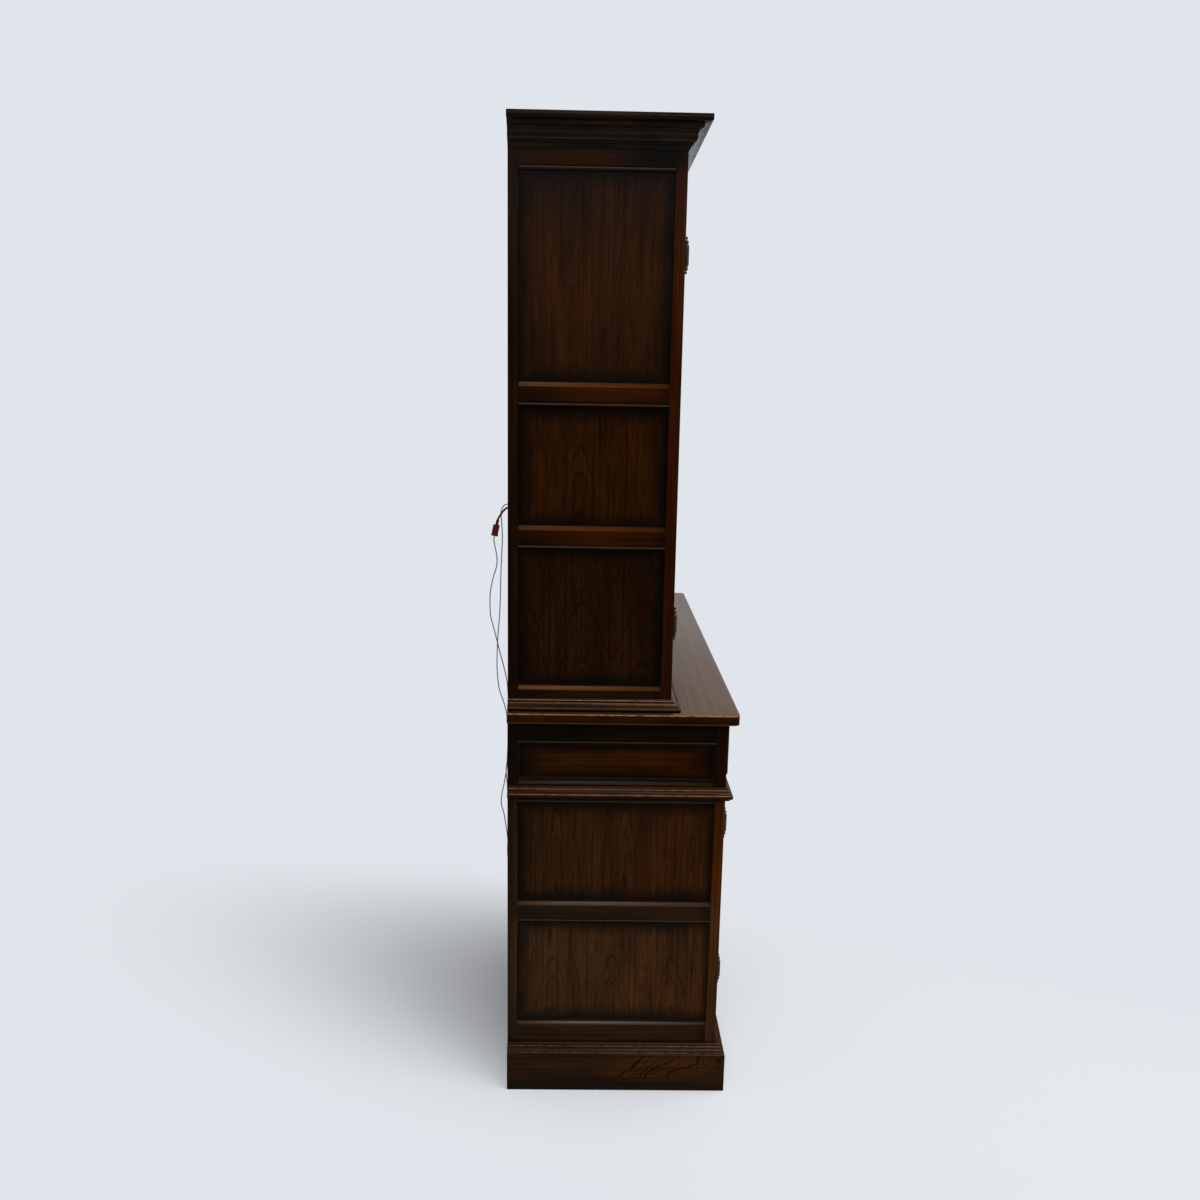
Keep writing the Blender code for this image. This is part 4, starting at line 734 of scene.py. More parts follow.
@dressing
def mouldingMaterial(shader, place, look):
    x, y, z = place.parts()
    apart = pastMitre(place, look["node"])
    ahead = apart.over(0)
    along = ahead.either(y, x)
    across = z + ahead.either(abs(x), y) * 0.6
    figure = oakFigure(place, along, across, ahead * 7 + x.over(0) * 3, ring=look["ring"], sway=0.014,
                       feather=0.001)
    colour = oakColour(figure, oak[look["wood"]], look["lines"], look["clouds"])
    mitre = jointLine(apart) * 0.6
    height = (z - look["low"]) / look["tall"]
    recessShade = banded(height, look["dark"])
    colour = toned(colour, mitre.most(recessShade))
    rear = y.step(-0.1, 0.24) * look["rear"][0]
    fore = y.fade(-0.117, 0.003) * look["rear"][1]
    colour = toned(colour, rear.most(fore) * (1 - ahead))
    highlit = place.joined(along, z * 4, 2).noise(70, 3, 0.6).step(0.3, 0.66) * 0.7 + 0.3
    # Painted highlights on the ridges, broken along their length
    colour = (banded(height, look["crests"], 0.025) * highlit).mixed(colour, oak["crestHighlight"])
    # The front run has kept its lacquer, in streaks
    streaks = place.joined(along, z * 9, 4).noise(36, 3, 0.7).step(0.3, 0.6) * 0.5 + 0.5
    sheen = ahead.either(look["sheen"][0], streaks * look["sheen"][1])
    finishOak(shader, place, colour, figure, worn=look["worn"] * (1 - recessShade),
              polish=look["polish"] * (1 - recessShade), sheen=sheen)
    plug(look["coat"], shader, "Coat IOR")


plinthLook = {
    "height": 0.0879, "cap": 0.0214,
    "heart": (0.108, 0.06),     # the flame's middle: towards the front, and above the floor
    "stretch": 4.6,             # how much longer the flame is than it is high
    "rise": 0.08,
    "ring": 0.0082,
    "worn": 0.16, "polish": 0.08,
    "glow": (0.0465, 0.0126, 0.0009),
    # Bands of painted shade in the cap's hollows, and of painted highlight on its ridges
    "dark": ((-0.1, 0.07, 0.72), (0.07, 0.95, 0.36), (0.46, 0.58, 0.58), (0.95, 1.2, 0.78)),
    "crests": ((0.15, 0.24, 0.58), (0.68, 0.73, 0.5)),
}


# A flame of flat-sawn rings near the front, and straight grain beside it
def flamedOak(place, look, along, ahead):
    x, _, z = place.parts()
    u = along - look["heart"][0]
    v = z - look["heart"][1] - u * look["rise"]
    licks = place.joined(along, z, x.over(0) * 3 + ahead).stretched((12, 24, 1), distortion=0.8)
    flame = oakFigure(place, along, z + ahead * 0.5, x.over(0) * 3 + ahead * 5,
                      v * 0.46 - u * 0.3 + licks * 0.046, ring=look["ring"], sway=0.0, feather=0.001)
    reach = ((u / look["stretch"]) ** 2 + v ** 2) ** 0.5
    fine = oakFigure(place, along, z + abs(x) * 0.6 * (1 - ahead), x.over(0) * 3 + ahead, ring=0.0034,
                     sway=0.014, feather=0.001, waver=0.002)
    share = (1 - z.over(look["height"])) * (reach + licks * 0.012).fade(0.028, 0.044)
    licked = flame["line"].step(0.1, 0.56) * share
    figure = {**fine, "line": licked.most(fine["line"] * share.either(0.9, 0.15))}
    ground = (share * flame["cloud"].step(0.34, 0.54)).mixed(oak["plinth"]["body"], look["glow"])
    return figure, oakColour(figure, {**oak["plinth"], "body": ground}, lines=1.0, clouds=0.3)


# The plinth boards with their moulded cap
@dressing
def plinthMaterial(shader, place, look):
    x, y, z = place.parts()
    apart = pastMitre(place, "plinth")
    ahead = apart.over(0)
    along = ahead.either(y * -1, (x + 0.25) * 0.5)
    figure, colour = flamedOak(place, look, along, ahead)
    # Darker towards the floor, with painted shade in the cap's hollows and painted highlights on its
    # ridges
    low = z.fade(-0.01, 0.052) * 0.5
    mitre = jointLine(apart) * 0.6
    height = (z - look["height"]) / look["cap"]
    recessShade = banded(height, look["dark"])
    colour = toned(colour, low.most(mitre).most(recessShade))
    crests = banded(height, look["crests"], 0.03) * height.over(0)
    highlit = place.joined(along, z * 4, 2).noise(70, 3, 0.6).step(0.3, 0.66)
    colour = (crests * highlit).mixed(colour, oak["crestHighlight"])
    finishOak(shader, place, colour, figure, worn=look["worn"] * (1 - recessShade),
              polish=look["polish"] * (1 - recessShade), sheen=0.03)


doors = {
    "arris": 0.0005,
    "toned": (0.016, 0.002),       # the toner starts and is full this far from the inner edge
    "frames": (
        # stage, width of a stile, wood
        ("glass", 0.046, "upperFrame"),
        ("base", 0.06, "baseFrame"),
    ),
}


# Mitred stiles and rails of one door, with toner along the moulded inner edge
@dressing
def doorFrameMaterial(shader, place, left, right, low, high, width, wood):
    x, _, z = place.parts()
    sideways = (x - left).least(right - x)
    upright = (z - low).least(high - z)
    stile = (upright - sideways).over(0)
    mitre = jointLine(upright - sideways) * 0.6
    start, full = (width - inward for inward in doors["toned"])
    inner = sideways.least(upright).step(start, full) * 0.6
    seed = stile * 4 + x.over((left + right) / 2)
    finishFraming(shader, place, stile, seed, wood, mitre.most(inner))


@dressing
def doorPanelMaterial(shader, place, left, right, low, high):
    x, _, z = place.parts()
    reach = archedReach(z, x, start=low - 0.1, middle=(left + right) / 2, period=0.24, heart=0.02,
                        slope=0.2)
    figure = oakFigure(place, z, x, 3, reach, ring=0.0062, waver=0.002)
    colour = oakColour(figure, oak["base"], lines=0.9)
    inner = insideOf(x, left, right, z, low, high)
    margin = inner.fade(0.03, 0.06) * 0.7
    finishOak(shader, place, toned(colour, margin), figure, sheen=0.05)


# Boards with the grain along one axis, glued edge to edge
@dressing
def boardMaterial(shader, place, wood, grain, width, roughness):
    x, y, z = place.parts()
    along, across, face = {"x": (x, y, z), "z": (z, x, y)}[grain]
    board = place.maths("FLOOR", across / width)
    tone = place.joined(board, 0.5, 0.5).noise(7.3, 0)
    middle = (across / width).fract() - 0.5
    reach = abs(middle - (tone - 0.5) * 0.9) * width + along * 0.008
    figure = oakFigure(place, along + board * 3, across + face, board * 5, reach, ring=0.0036,
                       sway=0.012)
    colour = oakColour(figure, oak[wood], lines=0.35)
    seam = (0.5 - abs(middle)).fade(0.0002 / width, 0.0009 / width) * 0.5
    colour = (tone.step(0.3, 0.7) * 0.25 + seam).mixed(colour, oak[wood]["dark"])
    finishOak(shader, place, colour, figure, roughness, worn=0)


counterLook = {
    # The top's colour is painted light, and the arris colour a painted highlight
    "topTone": (0.083, 0.055, 0.04),
    "arris": (0.26, 0.105, 0.038),
    "polish": 0.33, "coatRoughness": 0.26,
}


# The counter top: long boards seen from above, end grain on its two ends, painted highlights on its
# arrises, painted light on its top, and painted shade beside the upper stage and on faces that look
# down
@dressing
def counterMaterial(shader, place, look):
    x, y, z = place.parts()
    sideways, _, up = place.facing()
    end = abs(sideways).step(0.5, 0.8)
    flat = up.step(0.6, 0.9)
    figure = oakFigure(place, x, y + z, 2, ring=0.0036, sway=0.016)
    across = oakFigure(place, y, z, 11, ring=0.0042, sway=0.004, feather=0.0016)
    figure["line"] = end.either(figure["line"], across["line"])
    figure["streak"] = end.either(figure["streak"], across["cloud"])
    colour = oakColour(figure, oak["counter"], lines=0.75)
    # Painted light on the top: paler and greyer where it faces up
    colour = (flat * 0.8).mixed(colour, look["topTone"])
    colour = (flat * figure["line"] * 0.5).mixed(colour, oak["counter"]["dark"])
    (_, _, low), (_, _, high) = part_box("counter_top")
    # Painted highlights along the upper arris, broken in spots, and a faint one along the lower arris
    head = lineAt(z - high + 0.0008, 0.0008, 0.0022)
    foot = lineAt(z - low - 0.0012, 0.0004, 0.0018)
    spots = place.joined(y, z, x).noise(60, 2, 0.6).step(0.3, 0.62)
    crestHighlight = (head * (1 - flat) * (0.35 + spots * 0.65)).most(foot * 0.2)
    # Painted shade on the top, in the margin beside the upper stage
    beside = abs(x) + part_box("upper_left_frame")[0][0]
    margin = flat * beside.step(0.006, 0.012) * y.over(-0.1) * 0.75
    colour = toned(colour, margin)
    colour = crestHighlight.mixed(colour, look["arris"])
    # Painted shade on faces that look down
    shadeBelow = up.fade(-0.6, -0.1)
    colour = toned(colour, shadeBelow * 0.7)
    finishOak(shader, place, colour, figure, roughness=0.36, worn=0, polish=look["polish"])
    plug(look["coatRoughness"], shader, "Coat Roughness")


# The drawers' fronts are dark, and their boxes behind them are pale
@dressing
def drawerMaterial(shader, place, front=-0.219, thick=0.0203):
    x, y, z = place.parts()
    figure = oakFigure(place, x, z + y, x.over(0) * 3, ring=0.0034, sway=0.014)
    face = oakColour(figure, oak["base"], lines=0.85)
    box = oakColour(figure, oak["pale"], lines=0.35)
    behind = y.over(front + thick)
    finishOak(shader, place, behind.mixed(face, box), figure, roughness=0.36, worn=0.25, sheen=0.04)


friezeLook = {
    "tongue": 0.0057,          # how deep the panel's edges lie in the grooves of its frame
    "wider": 0.36,             # lengths along it count for less, so the toner is wider at its ends
    "ends": ((1.65, 1.6, 0.7), (1.5, 1.82, 2.2)),
}


@dressing
def friezeMaterial(shader, place, look):
    tongue, wider = look["tongue"], look["wider"]
    starts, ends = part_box("base_left_frieze_panel")
    front, low = starts[1] + tongue, starts[2] + tongue
    back, high = ends[1] - tongue, ends[2] - tongue
    x, y, z = place.parts()
    figure = oakFigure(place, y, z, x.over(0) * 3, ring=0.004, sway=0.016)
    colour = oakColour(figure, oak["upperFrame"], lines=0.85)
    colour = y.tinted(colour, ((front, back),), look["ends"])
    inner = insideOf(y * wider, front * wider, back * wider, z, low, high)
    uneven = place.stretched((14, 14, 14)) * 0.016 - 0.008
    edge = (inner + uneven).fade(-0.003, 0.037)
    colour = toned(colour, edge * 0.95)
    # A painted highlight on a fine line along the panel's rim
    rim = lineAt(insideOf(y, front, back, z, low, high) - 0.0016, 0.0004, 0.0016)
    finishOak(shader, place, (rim * 0.3).mixed(colour, oak["highlit"]), figure, worn=0)


upperPanel = panelMaterial("upperSidePanel", panels["upper"])
basePanel = panelMaterial("baseSidePanel", panels["base"])
friezeOak = friezeMaterial("friezePanel", friezeLook)
upperSide = sideFrameMaterial("upperSideFrame", sides["upper"])
baseSide = sideFrameMaterial("baseSideFrame", sides["base"])
upperFrontOak = frontFrameMaterial("upperFront", "upperFrame")
baseFrontOak = frontFrameMaterial("baseFront", "baseFrame")
corniceOak, footOak, waistOak = (mouldingMaterial(name, look) for name, look in mouldings.items())
plinthOak = plinthMaterial("plinth", plinthLook)
counterOak = counterMaterial("counterTop", counterLook)
insideOak = boardMaterial("insideBoards", "inside", "x", width=0.14, roughness=0.5)
backOak = boardMaterial("backBoards", "pale", "z", width=0.3, roughness=0.6)
drawerOak = drawerMaterial("drawer")

finished(upperPanel, "upper_left_panel", "upper_right_panel")
finished(basePanel, "base_left_panel", "base_right_panel")
finished(friezeOak, "base_left_frieze_panel", "base_right_frieze_panel")
finished(insideOak, "base_floor", "base_shelf", "drawer_runner_board", "upper_floor", "upper_roof")
finished(backOak, "base_back", "upper_back")

softened = (
    # name, node, material, slot, arris
    ("upperLeftFrame", "upper_left_frame", upperSide, "oak_frame", 0.0007),
    ("upperRightFrame", "upper_right_frame", upperSide, "oak_frame", 0.0007),
    ("baseLeftFrame", "base_left_frame", baseSide, "oak_frame", 0.0007),
    ("baseRightFrame", "base_right_frame", baseSide, "oak_frame", 0.0007),
    ("upperFrontFrame", "upper_front_frame", upperFrontOak, "oak_frame", 0.0008),
    ("baseFrontFrame", "base_front_frame", baseFrontOak, "oak_frame", 0.0008),
    ("corniceMoulding", "cornice", corniceOak, "oak_moulding", 0.0006),
    ("footMoulding", "foot_moulding", footOak, "oak_moulding", 0.0005),
    ("waistMoulding", "waist_moulding", waistOak, "oak_moulding", 0.0005),
    ("plinthBoards", "plinth", plinthOak, "oak_moulding", 0.0006),
    ("counterTop", "counter_top", counterOak, "oak_counter", 0.0),
    ("leftDrawer", "left_drawer", drawerOak, "oak_drawer", 0.0006),
    ("rightDrawer", "right_drawer", drawerOak, "oak_drawer", 0.0006),
)
for name, node, material, slot, arris in softened:
    body = f"{node}_body" if "drawer" in node else "carcass"
    given(softenedCopy(node, name, arris), body, material, slot, node)

for word in ("left", "right"):
    for stage, width, wood in doors["frames"]:
        node = f"{word}_{stage}_door_frame"
        (left, _, low), (right, _, high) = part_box(node)
        material = doorFrameMaterial(f"{word}{stage.title()}Door", left, right, low, high, width, wood)
        piece = softenedCopy(node, f"{word}{stage.title()}DoorFrame", doors["arris"])
        given(piece, f"{word}_{stage}_door", material, "oak_frame", node)
    node = f"{word}_base_door_panel"
    (left, _, low), (right, _, high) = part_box(node)
    material = doorPanelMaterial(f"{word}DoorPanel", left, right, low, high)
    piece = softenedCopy(node, f"{word}DoorPanel", doors["arris"])
    given(piece, f"{word}_base_door", material, "oak_panel", node)
print("oak pieces made")


# Brass fittings

brass = {
    "bright": (0.048, 0.032, 0.016),
    "dull": (0.01, 0.007, 0.005),
}


@dressing
def brassMaterial(shader, place):
    patina = place.noise(70, 4, 0.6).step(0.36, 0.68)
    speck = place.noise(900, 2, 0.6)
    plug((patina * 0.75).mixed(brass["bright"], brass["dull"]), shader, "Base Color")
    plug(patina * 0.22 + speck * 0.1 + 0.22, shader, "Roughness")
    plug(1 - patina * 0.35, shader, "Metallic")
    bumped(shader, speck + patina, 0.25, 0.0002)


antiqueBrass = brassMaterial("antiqueBrass")


def inBrass(piece, body, node):
    given(piece, body, antiqueBrass, "antique_brass", node)


tipRadius = 0.00002        # a turned profile ends this wide, so that its last ring can be drawn


# A smooth profile through the chosen (radius, height) points
def softProfile(points, spacing):
    line, _ = smoothRoute([Vector((radius, 0, height)) for radius, height in points], spacing)
    return [(max(point.x, tipRadius), point.z) for point in line]


# A turned piece along +Z: a disc drawn up ring by ring, then closed at its tip
def turnedPiece(profile, sides):
    nothingSelected()
    bpy.ops.mesh.primitive_circle_add(vertices=sides, radius=profile[0][0], fill_type="NGON",
                                      location=(0, 0, 0))
    piece = bpy.context.object
    openMesh(piece)
    bpy.ops.transform.translate(value=(0, 0, profile[0][1]))
    for (before, low), (after, high) in zip(profile, profile[1:]):
        bpy.ops.mesh.extrude_region_move(TRANSFORM_OT_translate={"value": (0, 0, high - low)})
        grown = after / before
        bpy.ops.transform.resize(value=(grown, grown, 1), center_override=(0, 0, high))
    if profile[-1][0] <= tipRadius:
        bpy.ops.mesh.merge(type="CENTER")
    bpy.ops.mesh.select_all(action="SELECT")
    bpy.ops.mesh.normals_make_consistent(inside=False)
    closeMesh()
    return piece


# A piece that is turned about the X axis and moved
def placedPiece(piece, name, spot=(0, 0, 0), turn=0.0, smoothAngle=40):
    piece.location = spot
    piece.rotation_euler = (turn, 0, 0)
    return settled(piece, name, smoothAngle)


def copyOf(piece, name, move):
    twin = piece.copy()
    twin.data = piece.data.copy()
    bpy.context.scene.collection.objects.link(twin)
    twin.location = move
    return settled(twin, name)


def joinedPieces(name, pieces):
    nothingSelected()
    for piece in pieces:
        piece.select_set(True)
    bpy.context.view_layer.objects.active = pieces[0]
    bpy.ops.object.join()
    return settled(bpy.context.object, name)


def centreOf(low, high):
    return [(a + b) / 2 for a, b in zip(low, high)]


# A slab drawn from a cube primitive, with its arrises rounded
def roundedBlock(low, high, arris, segments=3):
    nothingSelected()
    bpy.ops.mesh.primitive_cube_add(size=1, location=centreOf(low, high))
    piece = bpy.context.object
    piece.scale = [b - a for a, b in zip(low, high)]
    bpy.ops.object.transform_apply(location=True, rotation=True, scale=True)
    openMesh(piece)
    bpy.ops.mesh.bevel(offset=arris, segments=segments, affect="EDGES")
    closeMesh()
    return piece


knobs = {
    "reach": 0.028,
    "radius": 0.0122,
    "profile": ((1.0, 0.012), (1.0, 0.08), (0.9, 0.125), (0.66, 0.145), (0.5, 0.17), (0.38, 0.28),
                (0.42, 0.38), (0.56, 0.46), (0.84, 0.56), (0.985, 0.68), (0.985, 0.78), (0.86, 0.9),
                (0.5, 0.985), (0.24, 0.998), (0.0, 1.0)),
    "sides": 32,
}


def addKnobs():
    points = [(knobs["radius"] * across, knobs["reach"] * up) for across, up in knobs["profile"]]
    first = turnedPiece(softProfile(points, spacing=0.0011), knobs["sides"])
    placedPiece(first, "firstKnob", turn=math.pi / 2)
    for word in ("left", "right"):
        for stage in ("glass", "base"):
            node = f"{word}_{stage}_door_knob"
            low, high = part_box(node)
            middle = centreOf(low, high)
            piece = copyOf(first, f"{word}{stage.title()}Knob", (middle[0], high[1], middle[2]))
            inBrass(piece, f"{word}_{stage}_door", node)
    bpy.data.objects.remove(first)


hinges = {
    "radius": 0.0052,
    "barrel": 0.037,
    "finial": 0.0175,
    "groove": 0.0005,
    "leafThick": 0.0018,
    "leafDepth": 0.018,
    "leafArris": 0.0004,
    "leafShort": 0.0002,     # at each of its ends, against the barrel
    "offset": 0.0058,        # the barrel's middle ahead of the doors
    "gap": 0.0003,           # between the leaf and the post
    "posts": {"glass": 0.584, "base": 0.594},     # the posts' inner faces, out from the middle
    "ball": ((0.86, 0.0), (0.9, 0.06), (0.6, 0.16), (0.6, 0.2), (0.8, 0.34), (0.8, 0.4),
             (0.58, 0.52), (0.24, 0.62), (0.24, 0.66), (0.42, 0.78), (0.42, 0.84), (0.28, 0.95),
             (0.0, 1.0)),
    "sides": 24,
}


# A hinge's turned profile: three knuckles with fine grooves, and a finial at each end
def hingeProfile():
    radius, groove, half = hinges["radius"], hinges["groove"], hinges["barrel"] / 2
    cut = half / 3
    up = [(radius, 0.0), (radius, cut - groove), (radius - groove, cut), (radius, cut + groove),
          (radius, half - 2 * groove), (radius - groove, half)]
    ball = [(radius * across, half + hinges["finial"] * rise) for across, rise in hinges["ball"]]
    up += softProfile(ball, spacing=0.0009)
    down = [(across, -height) for across, height in reversed(up[1:])]
    return down + up


def addHinge(first, word, stage, level, side):
    node = f"{word}_{stage}_door_{level}_hinge"
    low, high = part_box(node)
    radius, half = hinges["radius"], hinges["barrel"] / 2
    ahead = low[1] + radius
    axis = (low[0] + radius) if side > 0 else (high[0] - radius)
    middle = (low[2] + high[2]) / 2
    barrel = copyOf(first, "barrel", (axis, ahead, middle))
    face = side * hinges["posts"][stage]
    gap = hinges["gap"]
    ends = sorted((face - side * gap, face - side * (gap + hinges["leafThick"])))
    behind = ahead + hinges["offset"] + hinges["leafDepth"]
    tall = half - hinges["leafShort"]
    leaf = roundedBlock((ends[0], ahead, middle - tall), (ends[1], behind, middle + tall),
                        hinges["leafArris"], segments=2)
    inBrass(joinedPieces(f"{word}{stage.title()}{level.title()}Hinge", [barrel, leaf]), "carcass", node)


def addHinges():
    first = turnedPiece(hingeProfile(), hinges["sides"])
    openMesh(first)
    bpy.ops.mesh.remove_doubles(threshold=0.00006)
    bpy.ops.mesh.normals_make_consistent(inside=False)
    closeMesh()
    settled(first, "firstBarrel", smoothAngle=38)
    for word, side in (("left", -1), ("right", 1)):
        for stage in ("glass", "base"):
            for level in ("top", "bottom"):
                addHinge(first, word, stage, level, side)
    bpy.data.objects.remove(first)


handles = {
    "plateThick": 0.002,
    "pommelSpacing": 0.064,
    "pommel": ((0.0046, -0.0012), (0.0044, 0.0006), (0.003, 0.0014), (0.0025, 0.003),
               (0.0026, 0.0052), (0.004, 0.007), (0.0045, 0.009), (0.004, 0.0112),
               (0.0024, 0.013), (0.0, 0.0135)),
    "arris": 0.0007,
}


# The CAD plate without its pommels: its holes are filled and its edge is eased
def barePlate(node, name, face):
    plate = softenedCopy(node, name)
    onlySelected(plate)
    for vertex in plate.data.vertices:
        vertex.select = vertex.co.y < face - 0.00005
    bpy.ops.object.mode_set(mode="EDIT")
    bpy.ops.mesh.select_mode(type="VERT")
    bpy.ops.mesh.delete(type="VERT")
    bpy.ops.mesh.select_all(action="SELECT")
    bpy.ops.mesh.fill_holes(sides=0)
    bpy.ops.mesh.select_all(action="SELECT")
    bpy.ops.mesh.dissolve_limited(angle_limit=math.radians(1))
    closeMesh()
    bevelled(plate, handles["arris"], segments=3, angle=60)
    return settled(plate, name, smoothAngle=35)


def addHandles():
    first = turnedPiece(softProfile(handles["pommel"], spacing=0.0007), sides=24)
    placedPiece(first, "firstPommel", turn=math.pi / 2)
    for word in ("left", "right"):
        node = f"{word}_handle_plate"
        low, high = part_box(node)
        middle = centreOf(low, high)
        face = high[1] - handles["plateThick"]
        plate = barePlate(node, f"{word}Plate", face)
        pommels = [copyOf(first, "pommel", (middle[0] + reach, face, middle[2]))
                   for reach in (-handles["pommelSpacing"] / 2, handles["pommelSpacing"] / 2)]
        inBrass(joinedPieces(f"{word}HandlePlate", [plate] + pommels), f"{word}_drawer_body", node)
        bail = softenedCopy(f"{word}_bail", f"{word}Bail")
        onlySelected(bail)
        smooth = bail.modifiers.new("round", "SUBSURF")
        smooth.levels = smooth.render_levels = 2
        bpy.ops.object.modifier_apply(modifier="round")
        settled(bail, f"{word}DropBail", smoothAngle=60)
        inBrass(bail, f"{word}_bail_body", f"{word}_bail")
    bpy.data.objects.remove(first)


addKnobs()
addHinges()
addHandles()
print("fittings made")


# Panes, their leading and the glass shelves

glazing = {
    "ior": 1.45,
    "tint": (0.93, 0.955, 0.945),
    "haze": 0.94,                  # how light the tint stays where a pane is hazy
    "gleam": (0.35, 0.16),         # the panes, and the shelves
    "pane": 0.15,                  # how far a pane holds back the light
    "edge": (0.2, 0.42, 0.36),
    "lead": (0.085, 0.085, 0.088),
    "leadBright": (0.26, 0.26, 0.27),
    "cameRound": 0.0011,
    "diamond": (0.113, 0.149),
    "border": 0.007,
    "paneThick": 0.004,
    "gap": 0.0003,                 # between the pane and its leading
    "sunk": 0.0004,                # the solder, into the cames
    "solder": ((0.0052, 0.0), (0.005, 0.0003), (0.0036, 0.0008), (0.0018, 0.0011), (0.0, 0.0012)),
}


@dressing
def glassMaterial(shader, place, wave, edges=None):
    plug(1.0, shader, "Transmission Weight")
    plug(glazing["ior"], shader, "IOR")
    haze = place.noise(6)
    plug(haze * 0.02, shader, "Roughness")
    if edges:
        x, y, _ = place.parts()
        left, right, front, back = edges
        rim = (x - left).least(right - x).least((y - front).least(back - y))
        colour = rim.step(0.0005, 0.006).mixed(glazing["edge"], glazing["tint"])
        plug(glazing["gleam"][1], shader, "Specular IOR Level")
    else:
        hazy = tuple(part * glazing["haze"] for part in glazing["tint"])
        colour = haze.mixed(glazing["tint"], hazy)
        plug(glazing["gleam"][0], shader, "Specular IOR Level")
        plug(glazing["pane"], shader, "Alpha")
    plug(colour, shader, "Base Color")
    bumped(shader, place.noise(11), wave, 0.002)


@dressing
def leadMaterial(shader, place):
    dull = place.noise(160, 4, 0.65).step(0.35, 0.65)
    plug(dull.mixed(glazing["leadBright"], glazing["lead"]), shader, "Base Color")
    plug(dull * 0.25 + 0.38, shader, "Roughness")
    plug(1 - dull * 0.4, shader, "Metallic")
    bumped(shader, place.noise(500, 3, 0.6), 0.35, 0.0003)


paneGlass = glassMaterial("paneGlass", wave=0.12)
(shelfLeft, shelfFront, _), (shelfRight, shelfBack, _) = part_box("lower_glass_shelf")
shelfEdges = (shelfLeft, shelfRight, shelfFront, shelfBack)
shelfGlass = glassMaterial("shelfGlass", wave=0.02, edges=shelfEdges)
leadCame = leadMaterial("leadCame")
finished(paneGlass, "left_pane", "right_pane")
finished(shelfGlass, "lower_glass_shelf", "upper_glass_shelf")


# Where the diamonds' corners meet, inside the border
def crossings(left, right, low, high):
    border = glazing["border"]
    columns = round((right - left) / glazing["diamond"][0])
    rows = round((high - low) / glazing["diamond"][1])
    wide = (right - left - 2 * border) / columns
    tall = (high - low - 2 * border) / rows
    return [(left + border + column * wide / 2, low + border + row * tall / 2)
            for row in range(1, 2 * rows) for column in range(1, 2 * columns)
            if (row + column) % 2 == 0]


# Rounded cames on both faces of a pane, with a bead of solder where they cross
def addLeading():
    blob = turnedPiece(softProfile(glazing["solder"], spacing=0.0012), sides=12)
    placedPiece(blob, "firstSolder", turn=math.pi / 2, smoothAngle=60)
    for word in ("left", "right"):
        node = f"{word}_leading"
        (left, front, low), (right, back, high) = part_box(node)
        came = softenedCopy(node, "came", glazing["cameRound"], angle=50, smoothAngle=50,
                            plain=False)
        beads = [copyOf(blob, "solder", (across, front + glazing["sunk"], up))
                 for across, up in crossings(left, right, low, high)]
        face = joinedPieces(f"{word}Leading", [came] + beads)
        inner = copyOf(face, f"{word}InnerLeading", (0, 0, 0))
        openMesh(inner)
        bpy.ops.transform.mirror(constraint_axis=(False, True, False), center_override=(0, front, 0))
        bpy.ops.mesh.normals_make_consistent(inside=False)
        closeMesh()
        given(face, f"{word}_glass_door", leadCame, "lead_came", node)
        meanY = sum(corner[1] for corner in inner.bound_box) / 8
        behind = back + 2 * glazing["gap"] + glazing["paneThick"] + (back - front) / 2
        inner.location = (0, behind - meanY, 0)
        given(settled(inner, f"{word}InnerLeading"), f"{word}_glass_door", leadCame, "lead_came")
    bpy.data.objects.remove(blob)


addLeading()
print("glazing made")


# Low-voltage light: the connector and grommet behind the back, the lamp and its driver

lowVoltage = {
    "tilt": math.radians(12),
    "seat": (0.053 - cords["halfWidth"], cords["back"] + 0.0268, 1.26),
    "housing": ((-0.005, -0.0062, -0.017), (0.005, 0.0062, 0.0062)),
    "rim": ((-0.0055, -0.0068, -0.0172), (0.0055, 0.0068, -0.012)),
    "latch": ((-0.0024, 0.005, -0.012), (0.0024, 0.007, 0.005)),
    "boot": ((-0.004, -0.0048, 0.005), (0.004, 0.0048, 0.0172)),
    "bootTip": 0.6,
    "red": (0.084, 0.005, 0.002),
    "darkRed": (0.022, 0.003, 0.002),
    "rubber": (0.012, 0.011, 0.01),
    "white": (0.62, 0.62, 0.6),
}
redPlastic = plasticMaterial("redPlastic", lowVoltage["red"], roughness=0.42, mottle=0.1,
                             specular=0.08)
darkRedPlastic = plasticMaterial("darkRedPlastic", lowVoltage["darkRed"], roughness=0.46,
                                 mottle=0.1, specular=0.08)
blackRubber = plasticMaterial("blackRubber", lowVoltage["rubber"], roughness=0.62, mottle=0.1,
                              grain=1400)
whitePlastic = plasticMaterial("whitePlastic", lowVoltage["white"], roughness=0.38, mottle=0.02)


